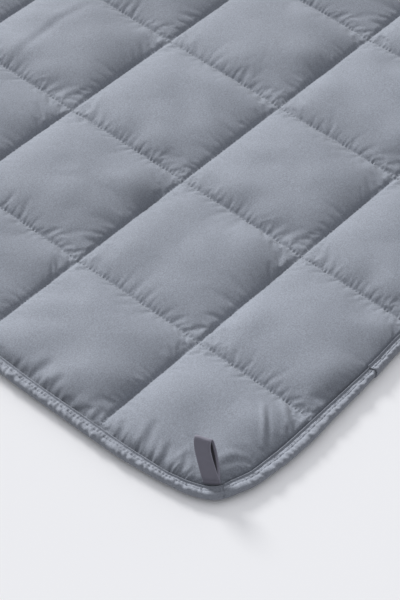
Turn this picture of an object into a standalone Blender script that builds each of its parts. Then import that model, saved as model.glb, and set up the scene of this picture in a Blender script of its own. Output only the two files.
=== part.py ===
"""A weighted blanket laid out flat: a quilt sewn into pockets, its binding and its corner loops.

Metres, +Z up. X runs across the blanket and Y along it. The origin is on the ground,
under the middle of the blanket.
"""

import math
from typing import NamedTuple

import bmesh
import bpy

# Quilt
POCKETS_X = 10
POCKETS_Y = 15
POCKET_PITCH = 0.1225       # one sewn channel to the next
EDGE_POCKET = 0.1195        # outer edge of the blanket to the first channel
CORNER_RADIUS = 0.057       # of the blanket's outer edge
SEAM_LEVEL = 0.0064         # middle of the cloth in a channel, above the ground
SEAM_THICKNESS = 0.0030     # both cloths and the filling caught in a channel
CROWN_LEVEL = 0.0225        # top of a full pocket, above the ground
CROWN_FULLNESS = 0.75       # exponent of a pocket's swell: below 1 it is steep beside the seams
CROWN_UNEVENNESS = 0.07     # share by which pockets are fuller or emptier than each other
SINE_STEPS = (2.1, 0.8)     # turn of the first wave of fullness per column and per row
COSINE_STEPS = (-1.7, 1.3)  # the same for the second wave
RIM_INSET = 0.0022          # the quilt's raw edge, inside the blanket's outer edge
POCKET_INSET = 0.0094       # where the outer pockets start, inside the blanket's outer edge
EDGE_LINES = (RIM_INSET, POCKET_INSET, 0.030, CORNER_RADIUS, 0.103)
POCKET_SHARES = (0.0, 0.15, 0.5, 0.85)
CROWN_SHARE = 0.5           # a line that only the crowned face needs
FOOT_SHARE = 0.1            # the underside is on the ground past this share of a pocket's width

# Binding
TAPE_THICKNESS = 0.0012
TAPE_WIDTH = 0.0090         # as it lies on the quilt, outer edge to stitched edge
TAPE_HEIGHT = 0.0096        # at its fullest
TAPE_NOSE = 0.0040          # depth of its round outer side
TAPE_EDGE_HEIGHT = 0.0060   # over both stitched edges
NOSE_STEPS = 3              # faces in each half of the round side
CORNER_STEPS = 6            # stations in each rounded corner
LAP_PLACE = 0.186           # the lap's cut end, along the side from the blanket's corner
LAP_LENGTH = 0.045          # tape on tape
LAP_RAMP = 0.012            # length over which the tape climbs onto its own start

# Corner loops
RIBBON_WIDTH = 0.0120
RIBBON_THICKNESS = 0.0010
LOOP_LENGTH = 0.0332        # from the sewn edge to the fold
LOOP_ROOT = 0.0040          # where the two ends lie on each other
LOOP_OPENING = 0.0095       # widest gap between the two strands
LOOP_TAPER = 1.0            # exponent of the drop shape: higher draws in the sewn end
LOOP_STEPS = 16
LOOP_LEAN = math.radians(65)    # above the ground, leaning over the quilt
LOOP_BEARING = math.radians(20)     # direction in which its fold faces, from the X axis
LOOP_TWIST = math.radians(14)   # further round that its foot faces, along the corner
LOOP_SWAY = 0.0100          # of its fold to one side of its foot
LOOP_SEAT = 0.0246          # of its foot, from both outer edges of the corner
LOOP_FOOT_LEVEL = 0.0096    # of its foot, above the ground

CORNERS = ((-1, -1), (1, -1), (1, 1), (-1, 1))  # sides of X and Y, in the loops' order

CLEARANCE = 0.0003          # between pieces that are sewn together
LAP_GROWTH = TAPE_THICKNESS + CLEARANCE

QUILT_COLOUR = (0.25, 0.28, 0.33)
BINDING_COLOUR = (0.24, 0.26, 0.31)
RIBBON_COLOUR = (0.20, 0.20, 0.23)
CLOTH_ROUGHNESS = 0.9
RIBBON_ROUGHNESS = 0.8

HALF_X = EDGE_POCKET + (POCKETS_X / 2 - 1) * POCKET_PITCH
HALF_Y = EDGE_POCKET + (POCKETS_Y / 2 - 1) * POCKET_PITCH


class Line(NamedTuple):
    """A grid line over the quilt: where it runs, and how far across its pocket it lies."""

    place: float
    share: float


class Station(NamedTuple):
    """A place on the binding's path: the outer edge, the way outward, and the tape's growth."""

    x: float
    y: float
    out_x: float
    out_y: float
    growth: float


def clear_scene():
    """Remove every object."""
    for thing in list(bpy.data.objects):
        bpy.data.objects.remove(thing, do_unlink=True)


def make_cloth(name, colour, roughness):
    """A matte cloth material of one colour."""
    cloth = bpy.data.materials.new(name)
    cloth.use_nodes = True
    shader = cloth.node_tree.nodes["Principled BSDF"]
    shader.inputs["Base Color"].default_value = (*colour, 1.0)
    shader.inputs["Roughness"].default_value = roughness
    shader.inputs["Metallic"].default_value = 0.0
    return cloth


def add_piece(name, shape, cloth, parent):
    """Turn a closed bmesh into an object with outward faces, shaded smooth."""
    bmesh.ops.recalc_face_normals(shape, faces=shape.faces)
    mesh = bpy.data.meshes.new(name)
    shape.to_mesh(mesh)
    shape.free()
    mesh.materials.append(cloth)
    mesh.shade_smooth()
    piece = bpy.data.objects.new(name, mesh)
    piece.parent = parent
    bpy.context.scene.collection.objects.link(piece)
    return piece


def grid_lines(pockets, half):
    """The quilt's grid lines in one direction, from its low side to its high side."""
    width = EDGE_POCKET - POCKET_INSET
    edge = [Line(inset - half, max(0.0, (inset - POCKET_INSET) / width)) for inset in EDGE_LINES]
    lines = list(edge)
    for pocket in range(pockets - 2):
        seam = EDGE_POCKET - half + pocket * POCKET_PITCH
        lines += [Line(seam + share * POCKET_PITCH, share) for share in POCKET_SHARES]
    lines.append(Line(half - EDGE_POCKET, 0.0))
    lines += [Line(-line.place, line.share) for line in reversed(edge)]
    return lines


def round_corner(x, y):
    """Carry a point of a square-cornered plan onto the blanket's round-cornered one.

    In a corner's square, lines along the two sides become arcs about the corner's centre,
    and the points on a line share the quarter turn in proportion.
    """
    across = 1 - (HALF_X - abs(x)) / CORNER_RADIUS
    along = 1 - (HALF_Y - abs(y)) / CORNER_RADIUS
    if min(across, along) <= 0:
        return x, y
    turn = math.pi / 4 * min(across, along) / max(across, along)
    if along > across:
        turn = math.pi / 2 - turn
    reach = max(across, along) * CORNER_RADIUS
    round_x = HALF_X - CORNER_RADIUS + reach * math.cos(turn)
    round_y = HALF_Y - CORNER_RADIUS + reach * math.sin(turn)
    return math.copysign(round_x, x), math.copysign(round_y, y)


def swell(share):
    """How far a pocket has risen at a share of its width: 0 on its seams, 1 at its middle."""
    return (4 * share * (1 - share)) ** CROWN_FULLNESS


def fullness(x, y):
    """How full the pocket at a point is, next to an even one, from two waves over the pockets.

    The corner pockets are even, so that the four loops sit alike.
    """
    column = math.floor((x + HALF_X - EDGE_POCKET) / POCKET_PITCH)
    row = math.floor((y + HALF_Y - EDGE_POCKET) / POCKET_PITCH)
    if column in (-1, POCKETS_X - 2) and row in (-1, POCKETS_Y - 2):
        return 1.0
    wave = math.sin(SINE_STEPS[0] * column + SINE_STEPS[1] * row)
    wave += math.cos(COSINE_STEPS[0] * column + COSINE_STEPS[1] * row)
    return 1 + CROWN_UNEVENNESS * wave / 2


def face_level(across, along):
    """Height of the quilt's upper face where two grid lines cross."""
    seam = SEAM_LEVEL + SEAM_THICKNESS / 2
    rise = swell(across.share) * swell(along.share)
    return seam + (CROWN_LEVEL - seam) * rise * fullness(across.place, along.place)


def foot_level(across, along):
    """Height of the quilt's underside: on the ground in a pocket, lifted along the seams."""
    edge_distance = min(min(line.share, 1 - line.share) for line in (across, along))
    return 0.0 if edge_distance > FOOT_SHARE else SEAM_LEVEL - SEAM_THICKNESS / 2


def build_quilt(cloth, parent):
    """The filled quilt: a crowned face and a flat-footed underside that meet along its rim."""
    shape = bmesh.new()
    across = grid_lines(POCKETS_X, HALF_X)
    along = grid_lines(POCKETS_Y, HALF_Y)
    last_i = len(across) - 1
    last_j = len(along) - 1
    face = {}
    foot = {}
    for i, line_x in enumerate(across):
        for j, line_y in enumerate(along):
            x, y = round_corner(line_x.place, line_y.place)
            if i in (0, last_i) or j in (0, last_j):
                face[i, j] = shape.verts.new((x, y, SEAM_LEVEL))
                foot[i, j] = face[i, j]
                continue
            face[i, j] = shape.verts.new((x, y, face_level(line_x, line_y)))
            if CROWN_SHARE not in (line_x.share, line_y.share):
                foot[i, j] = shape.verts.new((x, y, foot_level(line_x, line_y)))
    for i in range(last_i):
        for j in range(last_j):
            shape.faces.new((face[i, j], face[i + 1, j], face[i + 1, j + 1], face[i, j + 1]))
    foot_i = [i for i, line in enumerate(across) if line.share != CROWN_SHARE]
    foot_j = [j for j, line in enumerate(along) if line.share != CROWN_SHARE]
    for i, next_i in zip(foot_i, foot_i[1:]):
        for j, next_j in zip(foot_j, foot_j[1:]):
            walk = [(k, j) for k in range(i, next_i)] + [(next_i, k) for k in range(j, next_j)]
            walk += [(k, next_j) for k in range(next_i, i, -1)]
            walk += [(i, k) for k in range(next_j, j, -1)]
            shape.faces.new([foot[place] for place in walk if place in foot])
    return add_piece("quilt", shape, cloth, parent)


def tape_curve(depth):
    """One curve of the binding's section, a depth inside the tape's outer face.

    It runs from the upper stitched edge round the outer side to the lower stitched edge.
    The round side is a quarter ellipse above and below, and the flaps run straight to the
    stitched edges. Points are (distance in from the blanket's edge, height above the seam).
    """
    nose = TAPE_NOSE - depth
    full = TAPE_HEIGHT / 2 - depth
    turns = [math.pi / 2 * (1 - step / NOSE_STEPS) for step in range(NOSE_STEPS + 1)]
    upper = [(TAPE_WIDTH, TAPE_EDGE_HEIGHT / 2 - depth)]
    upper += [(depth + nose * (1 - math.cos(turn)), full * math.sin(turn)) for turn in turns]
    lower = [(inset, -height) for inset, height in reversed(upper[:-1])]
    return upper + lower


def corner_stations(side_x, side_y, start_turn):
    """The binding's stations round one corner, clockwise from a starting direction."""
    stations = []
    for step in range(CORNER_STEPS + 1):
        turn = start_turn - math.pi / 2 * step / CORNER_STEPS
        out_x = math.cos(turn)
        out_y = math.sin(turn)
        x = side_x * (HALF_X - CORNER_RADIUS) + CORNER_RADIUS * out_x
        y = side_y * (HALF_Y - CORNER_RADIUS) + CORNER_RADIUS * out_y
        stations.append(Station(x, y, out_x, out_y, 0.0))
    return stations


def binding_stations():
    """The binding's whole path: from its covered start, clockwise, to its end over the start."""
    cut_end = LAP_PLACE - HALF_X
    covered_start = cut_end + LAP_LENGTH
    stations = [Station(covered_start, -HALF_Y, 0.0, -1.0, 0.0)]
    stations += corner_stations(-1, -1, 1.5 * math.pi)
    stations += corner_stations(-1, 1, math.pi)
    stations += corner_stations(1, 1, 0.5 * math.pi)
    stations += corner_stations(1, -1, 0.0)
    climb_end = covered_start + CLEARANCE
    stations.append(Station(climb_end + LAP_RAMP, -HALF_Y, 0.0, -1.0, 0.0))
    stations.append(Station(climb_end, -HALF_Y, 0.0, -1.0, LAP_GROWTH))
    stations.append(Station(cut_end, -HALF_Y, 0.0, -1.0, LAP_GROWTH))
    return stations


def build_binding(cloth, parent):
    """The folded tape, its section carried along its path, closed at both ends."""
    shape = bmesh.new()
    rings = []
    for station in binding_stations():
        outer = tape_curve(-station.growth)
        inner = tape_curve(TAPE_THICKNESS - station.growth)
        ring = []
        for inset, height in outer + inner[::-1]:
            x = station.x - station.out_x * inset
            y = station.y - station.out_y * inset
            ring.append(shape.verts.new((x, y, SEAM_LEVEL + height)))
        rings.append(ring)
    size = len(rings[0])
    for ring, following in zip(rings, rings[1:]):
        for k in range(size):
            after = (k + 1) % size
            shape.faces.new((ring[k], ring[after], following[after], following[k]))
    for ring in (rings[0], rings[-1]):
        for k in range(size // 2 - 1):
            shape.faces.new((ring[k], ring[k + 1], ring[-2 - k], ring[-1 - k]))
    return add_piece("binding", shape, cloth, parent)


def loop_outlines():
    """The loop seen edge on: its opening, and its outside from one sewn end to the other.

    The opening is a drop: its height goes as one less the cosine of a turn, and its width as
    the turn's sine, drawn in near the point. The outside is the opening thickened by the
    ribbon, down to the two ends lying on each other. Points are (away from the middle, up).
    """
    length = LOOP_LENGTH - LOOP_ROOT - RIBBON_THICKNESS
    turns = [2 * math.pi * step / LOOP_STEPS for step in range(LOOP_STEPS + 1)]
    widths = [math.sin(turn) * math.sin(turn / 2) ** LOOP_TAPER for turn in turns]
    scale = LOOP_OPENING / (max(widths) - min(widths))
    opening = [(width * scale, LOOP_ROOT + length * (1 - math.cos(turn)) / 2)
               for width, turn in zip(widths, turns)]
    outside = [(RIBBON_THICKNESS, 0.0)]
    for before, here, after in zip(opening, opening[1:], opening[2:]):
        run = math.hypot(after[0] - before[0], after[1] - before[1])
        out_w = (after[1] - before[1]) / run
        out_h = -(after[0] - before[0]) / run
        outside.append((here[0] + RIBBON_THICKNESS * out_w, here[1] + RIBBON_THICKNESS * out_h))
    outside.append((-RIBBON_THICKNESS, 0.0))
    return opening, outside


def seat_loop(depth, height, width, side_x, side_y):
    """Carry a point of an upright loop to its leaning, swaying place at one corner."""
    toward = depth * math.sin(LOOP_LEAN) + height * math.cos(LOOP_LEAN)
    level = height * math.sin(LOOP_LEAN) - depth * math.cos(LOOP_LEAN)
    risen = math.sin(math.pi / 2 * height / LOOP_LENGTH)
    beside = width - LOOP_SWAY * risen
    bearing = LOOP_BEARING + LOOP_TWIST * (1 - risen)
    x = LOOP_SEAT - HALF_X + toward * math.cos(bearing) + beside * math.sin(bearing)
    y = LOOP_SEAT - HALF_Y + toward * math.sin(bearing) - beside * math.cos(bearing)
    return -side_x * x, -side_y * y, LOOP_FOOT_LEVEL + level


def build_loop(name, side_x, side_y, cloth, parent):
    """One ribbon loop, its two ends lying on each other at its foot."""
    shape = bmesh.new()
    opening, outside = loop_outlines()
    edges = []
    for width in (-RIBBON_WIDTH / 2, RIBBON_WIDTH / 2):
        inner = [shape.verts.new(seat_loop(*point, width, side_x, side_y)) for point in opening[:-1]]
        outer = [shape.verts.new(seat_loop(*point, width, side_x, side_y)) for point in outside]
        inner.append(inner[0])
        edges.append((inner, outer))
        for k in range(LOOP_STEPS):
            shape.faces.new((inner[k], inner[k + 1], outer[k + 1], outer[k]))
        shape.faces.new((outer[0], inner[0], outer[-1]))
    (inner_a, outer_a), (inner_b, outer_b) = edges
    for k in range(LOOP_STEPS):
        shape.faces.new((inner_a[k], inner_a[k + 1], inner_b[k + 1], inner_b[k]))
        shape.faces.new((outer_a[k], outer_a[k + 1], outer_b[k + 1], outer_b[k]))
    shape.faces.new((outer_a[0], outer_a[-1], outer_b[-1], outer_b[0]))
    return add_piece(name, shape, cloth, parent)


def main():
    """Build the blanket under an empty that centres its outline, lap included."""
    clear_scene()
    blanket = bpy.data.objects.new("blanket", None)
    blanket.location = (0.0, LAP_GROWTH / 2, 0.0)
    bpy.context.scene.collection.objects.link(blanket)
    build_quilt(make_cloth("quilt_cloth", QUILT_COLOUR, CLOTH_ROUGHNESS), blanket)
    build_binding(make_cloth("binding_cloth", BINDING_COLOUR, CLOTH_ROUGHNESS), blanket)
    for number, (side_x, side_y) in enumerate(CORNERS, start=1):
        ribbon = make_cloth(f"ribbon_{number}", RIBBON_COLOUR, RIBBON_ROUGHNESS)
        build_loop(f"loop_{number}", side_x, side_y, ribbon, blanket)


main()
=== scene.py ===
"""The look of a weighted blanket laid out flat: quilted cloth, edge binding, loops and stitches.

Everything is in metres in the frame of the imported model: +Z up, X across the blanket and Y
along it, with the origin on the ground under the middle of the blanket.
"""

import logging
import math
from dataclasses import dataclass
from enum import Enum
from functools import reduce

import bpy
import numpy as np
from mathutils import Matrix, Vector

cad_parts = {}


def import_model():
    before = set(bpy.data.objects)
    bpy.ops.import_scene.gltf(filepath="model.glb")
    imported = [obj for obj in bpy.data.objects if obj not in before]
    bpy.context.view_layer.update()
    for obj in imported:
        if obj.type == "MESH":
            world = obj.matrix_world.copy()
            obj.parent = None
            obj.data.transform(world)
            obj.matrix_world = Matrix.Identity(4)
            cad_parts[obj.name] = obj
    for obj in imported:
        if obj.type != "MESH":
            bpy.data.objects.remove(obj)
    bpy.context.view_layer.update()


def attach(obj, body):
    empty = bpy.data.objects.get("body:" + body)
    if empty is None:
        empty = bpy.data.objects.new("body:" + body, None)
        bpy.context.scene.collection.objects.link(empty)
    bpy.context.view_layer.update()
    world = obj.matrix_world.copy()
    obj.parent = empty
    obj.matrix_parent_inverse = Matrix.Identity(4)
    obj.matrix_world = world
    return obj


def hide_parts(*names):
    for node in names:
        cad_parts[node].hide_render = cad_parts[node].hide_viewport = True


ROOT = "root"
UNITS = 144                 # grid units across a pocket
STITCH_UNITS = 4            # grid units in a stitch of the channels
RIM_UNITS = 16              # grid units of the rim under the binding
LARGEST_BLOCK = 16          # grid units of the largest polygon
MILLIMETRES = 1000          # in a metre
TABLE_MARGIN = 20           # millimetres that a table is read past its ends
TABLE_WINDOW = 17           # millimetres over which a table's corners are rounded off
TINY = 1e-9                 # keeps divisions and signs away from zero

log = logging.getLogger("blanket")


class Side(Enum):
    """The four corners of the blanket, as signs of X and Y, in the loops' order."""

    NEAR_LEFT = (-1, -1)
    NEAR_RIGHT = (1, -1)
    FAR_RIGHT = (1, 1)
    FAR_LEFT = (-1, 1)


class Fold(Enum):
    FOLDED = "folded"


class Axis(Enum):
    """The object's axes, in the words that Blender's wave texture knows."""

    ACROSS = "X"
    ALONG = "Y"
    UP = "Z"


class Arithmetic(Enum):
    """What is done with two values, in the words that Blender's Math node knows."""

    PLUS = "ADD"
    LESS = "SUBTRACT"
    TIMES = "MULTIPLY"
    SIZE = "ABSOLUTE"


def from_ends(place: np.ndarray, size: float) -> np.ndarray:
    """Distance to the nearer end of a stretch that runs from 0 to a size."""
    return np.minimum(place, size - place)


def bell(away: np.ndarray, reach: float) -> np.ndarray:
    """A bell, 1 in its middle: e to minus the square of the distance over the reach."""
    return np.exp(-((away / reach) ** 2))


def eased(share: np.ndarray) -> np.ndarray:
    """A share held to 0 and 1 and eased at both ends: 3 t^2 - 2 t^3."""
    held = np.clip(share, 0, 1)
    return held * held * (3 - 2 * held)


# --------------------------------------------------------------------------- sizes


@dataclass(frozen=True)
class BlanketPlan:
    """The blanket's plan and levels, which every piece shares."""

    pockets_x: int = 10
    pockets_y: int = 15
    pitch: float = 0.1225
    edge_pocket: float = 0.1195
    corner_radius: float = 0.057
    rim_inset: float = 0.0022
    pocket_inset: float = 0.0094
    seam_level: float = 0.0064
    seam_top: float = 0.0078
    seam_foot: float = 0.0044
    crown_level: float = 0.0190
    flatness: float = 3.8
    shift_y: float = 0.00075
    unevenness: float = 0.07
    sine_steps: tuple[float, float] = (2.1, 0.8)        # a column and a row of pockets further
    cosine_steps: tuple[float, float] = (-1.7, 1.3)
    scallop: float = 0.0007
    tape_fade: float = 0.0065
    draw_shares: tuple[float, float, float, float] = (1.0, 0.8, 0.7, 0.9)
    # How far the edge is drawn in: (millimetres round the corner from its middle, millimetres).
    outer_draw: tuple[tuple[float, float], ...] = (
        (-300, 0.0), (-200, -1.2), (-150, -0.7), (-115, -1.5), (-80, 0.0), (-55, 3.0), (-34, 5.6),
        (-15, 3.2), (3, 0.3), (22, 2.7), (45, 1.6), (70, -1.0), (100, -1.8), (130, 0.4),
        (165, 3.1), (200, 5.2), (250, 3.5), (320, 0.0))
    inner_draw: tuple[tuple[float, float], ...] = (
        (-300, 0.0), (-200, -1.9), (-140, -2.0), (-90, -0.3), (-55, 2.0), (-33, 4.6), (-18, 3.6),
        (0, -0.4), (6, 0.4), (17, 5.4), (28, 6.2), (40, 4.6), (55, 3.0), (72, 1.5), (100, 0.8),
        (120, 0.2), (150, 1.0), (185, 1.2), (213, 3.4), (260, 2.4), (320, 0.0))

    @property
    def half_x(self) -> float:
        """Half of the blanket's width."""
        return self.edge_pocket + (self.pockets_x / 2 - 1) * self.pitch

    @property
    def half_y(self) -> float:
        """Half of the blanket's length."""
        return self.edge_pocket + (self.pockets_y / 2 - 1) * self.pitch

    def grid_shape(self) -> tuple[int, int]:
        """Grid units across and along the whole quilt, its rim included."""
        return (self.pockets_x * UNITS + 2 * RIM_UNITS, self.pockets_y * UNITS + 2 * RIM_UNITS)

    def grid_places(self, pockets: int, half: float) -> tuple[np.ndarray, np.ndarray]:
        """Grid units of the channels and edges in one direction, and where they are.

        Args:
            pockets: Number of pockets in that direction.
            half: Half of the blanket's size in that direction.

        Returns:
            The grid units, rising, and the place of each in metres.
        """
        seams = -half + self.edge_pocket + self.pitch * np.arange(pockets - 1)
        units = RIM_UNITS + UNITS * np.arange(pockets + 1)
        places = np.concatenate(([self.pocket_inset - half], seams, [half - self.pocket_inset]))
        units = np.concatenate(([0], units, [units[-1] + RIM_UNITS]))
        places = np.concatenate(([self.rim_inset - half], places, [half - self.rim_inset]))
        return units, places

    def place(self, i: np.ndarray, j: np.ndarray) -> tuple[np.ndarray, np.ndarray]:
        """Carry grid units onto the blanket's plan, rounding its corners.

        In a corner, a point (a, b) of the unit square goes to (a sqrt(1 - b^2 / 2),
        b sqrt(1 - a^2 / 2)) of the unit disc. Outside the pockets the disc grows with the
        larger of a and b, so that the rim keeps its width.

        Args:
            i: Grid units across.
            j: Grid units along.

        Returns:
            X and Y of each point, in metres.
        """
        x = np.interp(i, *self.grid_places(self.pockets_x, self.half_x))
        y = np.interp(j, *self.grid_places(self.pockets_y, self.half_y))
        radius = self.corner_radius
        across = 1 - (self.half_x - np.abs(x)) / radius
        along = 1 - (self.half_y - np.abs(y)) / radius
        inside = (across > 0) & (along > 0)
        reach = np.maximum(np.maximum(across, along), 1 - self.pocket_inset / radius)
        a = np.where(inside, across / reach, 0.0)
        b = np.where(inside, along / reach, 0.0)
        round_x = self.half_x - radius + radius * reach * a * np.sqrt(1 - b**2 / 2)
        round_y = self.half_y - radius + radius * reach * b * np.sqrt(1 - a**2 / 2)
        x = np.where(inside, np.sign(x) * round_x, x)
        y = np.where(inside, np.sign(y) * round_y, y)
        return x, y + self.shift_y

    def edge_frame(self, a: np.ndarray, b: np.ndarray) -> tuple[np.ndarray, ...]:
        """Where points lie by the edge of a corner: how far round it, how far in, and which way.

        Args:
            a: Distance in from the corner's left or right edge.
            b: Distance in from its near or far edge.

        Returns:
            The distance along the edge from the corner's middle, less than 0 on the left or
            right edge, the distance in from the rounded edge, and the inward direction's two
            components.
        """
        radius = self.corner_radius
        quarter = radius * math.pi / 4
        corner = (a < radius) & (b < radius)
        reach = np.maximum(np.hypot(radius - a, radius - b), TINY)
        angle = np.arctan2(radius - b, radius - a)
        side = a < b
        along = np.where(side, radius - b - quarter, a - radius + quarter)
        along = np.where(corner, radius * (angle - math.pi / 4), along)
        inset = np.where(corner, radius - reach, np.where(side, a, b))
        in_a = np.where(corner, (radius - a) / reach, np.where(side, 1.0, 0.0))
        in_b = np.where(corner, (radius - b) / reach, np.where(side, 0.0, 1.0))
        return along, inset, in_a, in_b

    def settle(self, points: np.ndarray) -> np.ndarray:
        """Draw the sewn edge in and out unevenly, as the stitching and the filling pull it.

        The move is along the inward direction: the inner draw, which fades over the corner's
        radius, and the rest of the outer draw, which fades over the tape. Where channels end
        the edge comes in a little more, as minus the cosine of the way between channels.

        Args:
            points: Points of any piece, one to a row.

        Returns:
            The moved points.
        """
        x, y = points[:, 0], points[:, 1] - self.shift_y
        a, b = self.half_x - np.abs(x), self.half_y - np.abs(y)
        along, inset, in_a, in_b = self.edge_frame(a, b)
        right, far = x > 0, y > 0
        way = np.where(right != far, -along, along)
        share = np.array(self.draw_shares)[np.where(right, 1, 0) + np.where(far, 2, 0)]
        outer = share * eased_table(self.outer_draw, way)
        inner = share * eased_table(self.inner_draw, way)
        deep = np.clip(1 - inset / self.corner_radius, 0, 1) ** 2
        shallow = np.exp(-np.maximum(inset, 0) / self.tape_fade)
        position = np.where(in_b > in_a, x + self.half_x, y + self.half_y) - self.edge_pocket
        corner_ease = np.clip((np.abs(along) - self.corner_radius) / self.corner_radius, 0, 1)
        scallop = self.scallop * np.cos(2 * math.pi * position / self.pitch) * corner_ease
        move = (inner + scallop) * deep + (outer - inner) * shallow
        moved = points.copy()
        moved[:, 0] += np.where(right, -1, 1) * in_a * move
        moved[:, 1] += np.where(far, -1, 1) * in_b * move
        return moved

    def even_rise(self, across: np.ndarray, along: np.ndarray) -> np.ndarray:
        """The rise of an even pocket, 0 at its channels to 1 in its middle.

        It is f(across) f(along) with f(t) = 1 - |2t - 1|^flatness, which is steep at the
        channels and flat on top.

        Args:
            across: Share of the way across the pocket.
            along: Share of the way along the pocket.

        Returns:
            The rise at each point.
        """
        return ((1 - np.abs(2 * across - 1) ** self.flatness)
                * (1 - np.abs(2 * along - 1) ** self.flatness))

    def fullness(self, column: np.ndarray, row: np.ndarray) -> np.ndarray:
        """How full each pocket is next to an even one: a sine and a cosine over the pockets.

        Args:
            column: Columns of pockets, from 0.
            row: Rows of pockets, from 0.

        Returns:
            The share of an even pocket's rise; the corner pockets are even.
        """
        u, v = column - 1, row - 1
        wave = np.sin(self.sine_steps[0] * u + self.sine_steps[1] * v)
        wave = wave + np.cos(self.cosine_steps[0] * u + self.cosine_steps[1] * v)
        at_side = (column == 0) | (column == self.pockets_x - 1)
        at_end = (row == 0) | (row == self.pockets_y - 1)
        return np.where(at_side & at_end, 1.0, 1 + self.unevenness * wave / 2)


def eased_table(table: tuple[tuple[float, float], ...], place: np.ndarray) -> np.ndarray:
    """Read a table of millimetres between its rows, with its corners rounded off.

    The straight lines between rows are read every millimetre and averaged over a window that
    falls to both sides as a squared cosine.

    Args:
        table: Rows of (place, value) in millimetres, rising.
        place: Where to read it, in metres.

    Returns:
        The values, in metres.
    """
    rows = np.array(table)
    grid = np.arange(rows[0, 0] - TABLE_MARGIN, rows[-1, 0] + TABLE_MARGIN + 1)
    window = np.hanning(TABLE_WINDOW)
    values = np.convolve(np.interp(grid, rows[:, 0], rows[:, 1]), window / window.sum(), "same")
    half = TABLE_WINDOW // 2
    values[:half], values[-half:] = rows[0, 1], rows[-1, 1]
    return np.interp(place * MILLIMETRES, grid, values) / MILLIMETRES


# --------------------------------------------------------------------------- meshes


def add_object(name: str, mesh: bpy.types.Mesh, material: bpy.types.Material) -> bpy.types.Object:
    """Link a mesh into the scene as an object at the origin, shaded smooth.

    Args:
        name: The object's name.
        mesh: Its mesh, with its place in its vertices.
        material: Its finish.

    Returns:
        The new object.
    """
    mesh.materials.append(material)
    mesh.shade_smooth()
    thing = bpy.data.objects.new(name, mesh)
    bpy.context.scene.collection.objects.link(thing)
    return thing


def mesh_from_polygons(name: str, points: np.ndarray, corners: np.ndarray,
                       counts: np.ndarray) -> bpy.types.Mesh:
    """Make a mesh of polygons with different numbers of corners.

    Args:
        name: The mesh's name.
        points: Vertices, one to a row.
        corners: Vertex numbers of all polygons, one polygon after another.
        counts: Number of corners of each polygon.

    Returns:
        The mesh, with its edges.
    """
    mesh = bpy.data.meshes.new(name)
    mesh.vertices.add(len(points))
    mesh.vertices.foreach_set("co", points.astype(np.float32).ravel())
    mesh.loops.add(len(corners))
    mesh.loops.foreach_set("vertex_index", corners.astype(np.int32))
    mesh.polygons.add(len(counts))
    starts = np.concatenate(([0], np.cumsum(counts)[:-1]))
    mesh.polygons.foreach_set("loop_start", starts.astype(np.int32))
    mesh.update(calc_edges=True)
    mesh.validate()
    return mesh


def tube_mesh(name: str, rings: np.ndarray, uv_scale: tuple[float, float]) -> bpy.types.Mesh:
    """Join rings of points into a closed tube with flat ends.

    The rings are (stations, points around, 3). The sides are quads between neighbouring
    rings, each end is one polygon, and the whole is turned to face outward by the sign of
    its volume.

    Args:
        name: The mesh's name.
        rings: Points of each ring, in order along the tube.
        uv_scale: Size of the tube's UV map: along it and around it, in metres.

    Returns:
        The mesh, with a UV map named "cloth".
    """
    stations, around, _ = rings.shape
    index = np.arange(stations * around).reshape(stations, around)
    after = np.roll(index, -1, axis=1)
    sides = np.stack((index[:-1], after[:-1], after[1:], index[1:]), -1).reshape(-1, 4)
    points = rings.reshape(-1, 3)
    first, last = index[0][::-1], index[-1]
    a, b, c, d = (points[sides[:, corner]] - points.mean(0) for corner in range(4))
    if (a * (np.cross(b, c) + np.cross(c, d))).sum() < 0:
        sides = sides[:, ::-1]
        first, last = first[::-1], last[::-1]
    corners = np.concatenate((sides.ravel(), first, last))
    counts = np.concatenate((np.full(len(sides), 4), [around, around]))
    mesh = mesh_from_polygons(name, points, corners, counts)
    layer = mesh.uv_layers.new(name="cloth")
    along = np.repeat(np.linspace(0, uv_scale[0], stations), around)
    across = np.tile(np.linspace(0, uv_scale[1], around), stations)
    uv = np.stack((along[corners], across[corners]), -1)
    layer.data.foreach_set("uv", uv.astype(np.float32).ravel())
    return mesh


def split_blocks(wanted: np.ndarray) -> list[tuple[int, np.ndarray]]:
    """Split a grid into square blocks, each as large as its finest wanted size allows.

    Args:
        wanted: Wanted block size of each grid unit, a power of two up to the largest.

    Returns:
        For each size, the size and the low corners of its blocks.
    """
    blocks = []
    free = np.ones(wanted.shape, bool)
    size = LARGEST_BLOCK
    while size >= 1:
        shape = (wanted.shape[0] // size, size, wanted.shape[1] // size, size)
        fits = wanted.reshape(shape).min(axis=(1, 3)) >= size
        fits &= free.reshape(shape).all(axis=(1, 3))
        blocks.append((size, np.argwhere(fits) * size))
        free &= ~np.repeat(np.repeat(fits, size, axis=0), size, axis=1)
        size //= 2
    return blocks


def block_polygons(blocks: list[tuple[int, np.ndarray]], used: np.ndarray, nodes_along: int,
                   upward: bool) -> tuple[np.ndarray, np.ndarray]:
    """Make one polygon of each block, with a corner at each grid node in use on its border.

    Args:
        blocks: Blocks from split_blocks.
        used: Which grid nodes are in use, as one row of flags.
        nodes_along: Grid nodes in a row along the blanket.
        upward: Whether the polygons face up.

    Returns:
        Node numbers of the polygons' corners, and the number of corners of each.
    """
    corners, counts = [], []
    for size, low in blocks:
        step, none, full = np.arange(size), np.zeros(size, int), np.full(size, size)
        sides = ((step, none), (full, step), (size - step, full), (none, size - step))
        ring = np.concatenate([np.stack(side, -1) for side in sides])
        if not upward:
            ring = ring[::-1]
        nodes = low[:, None, :] + ring[None]
        numbers = nodes[..., 0] * nodes_along + nodes[..., 1]
        keep = used[numbers]
        corners.append(numbers[keep])
        counts.append(keep.sum(1))
    return np.concatenate(corners), np.concatenate(counts)


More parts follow.
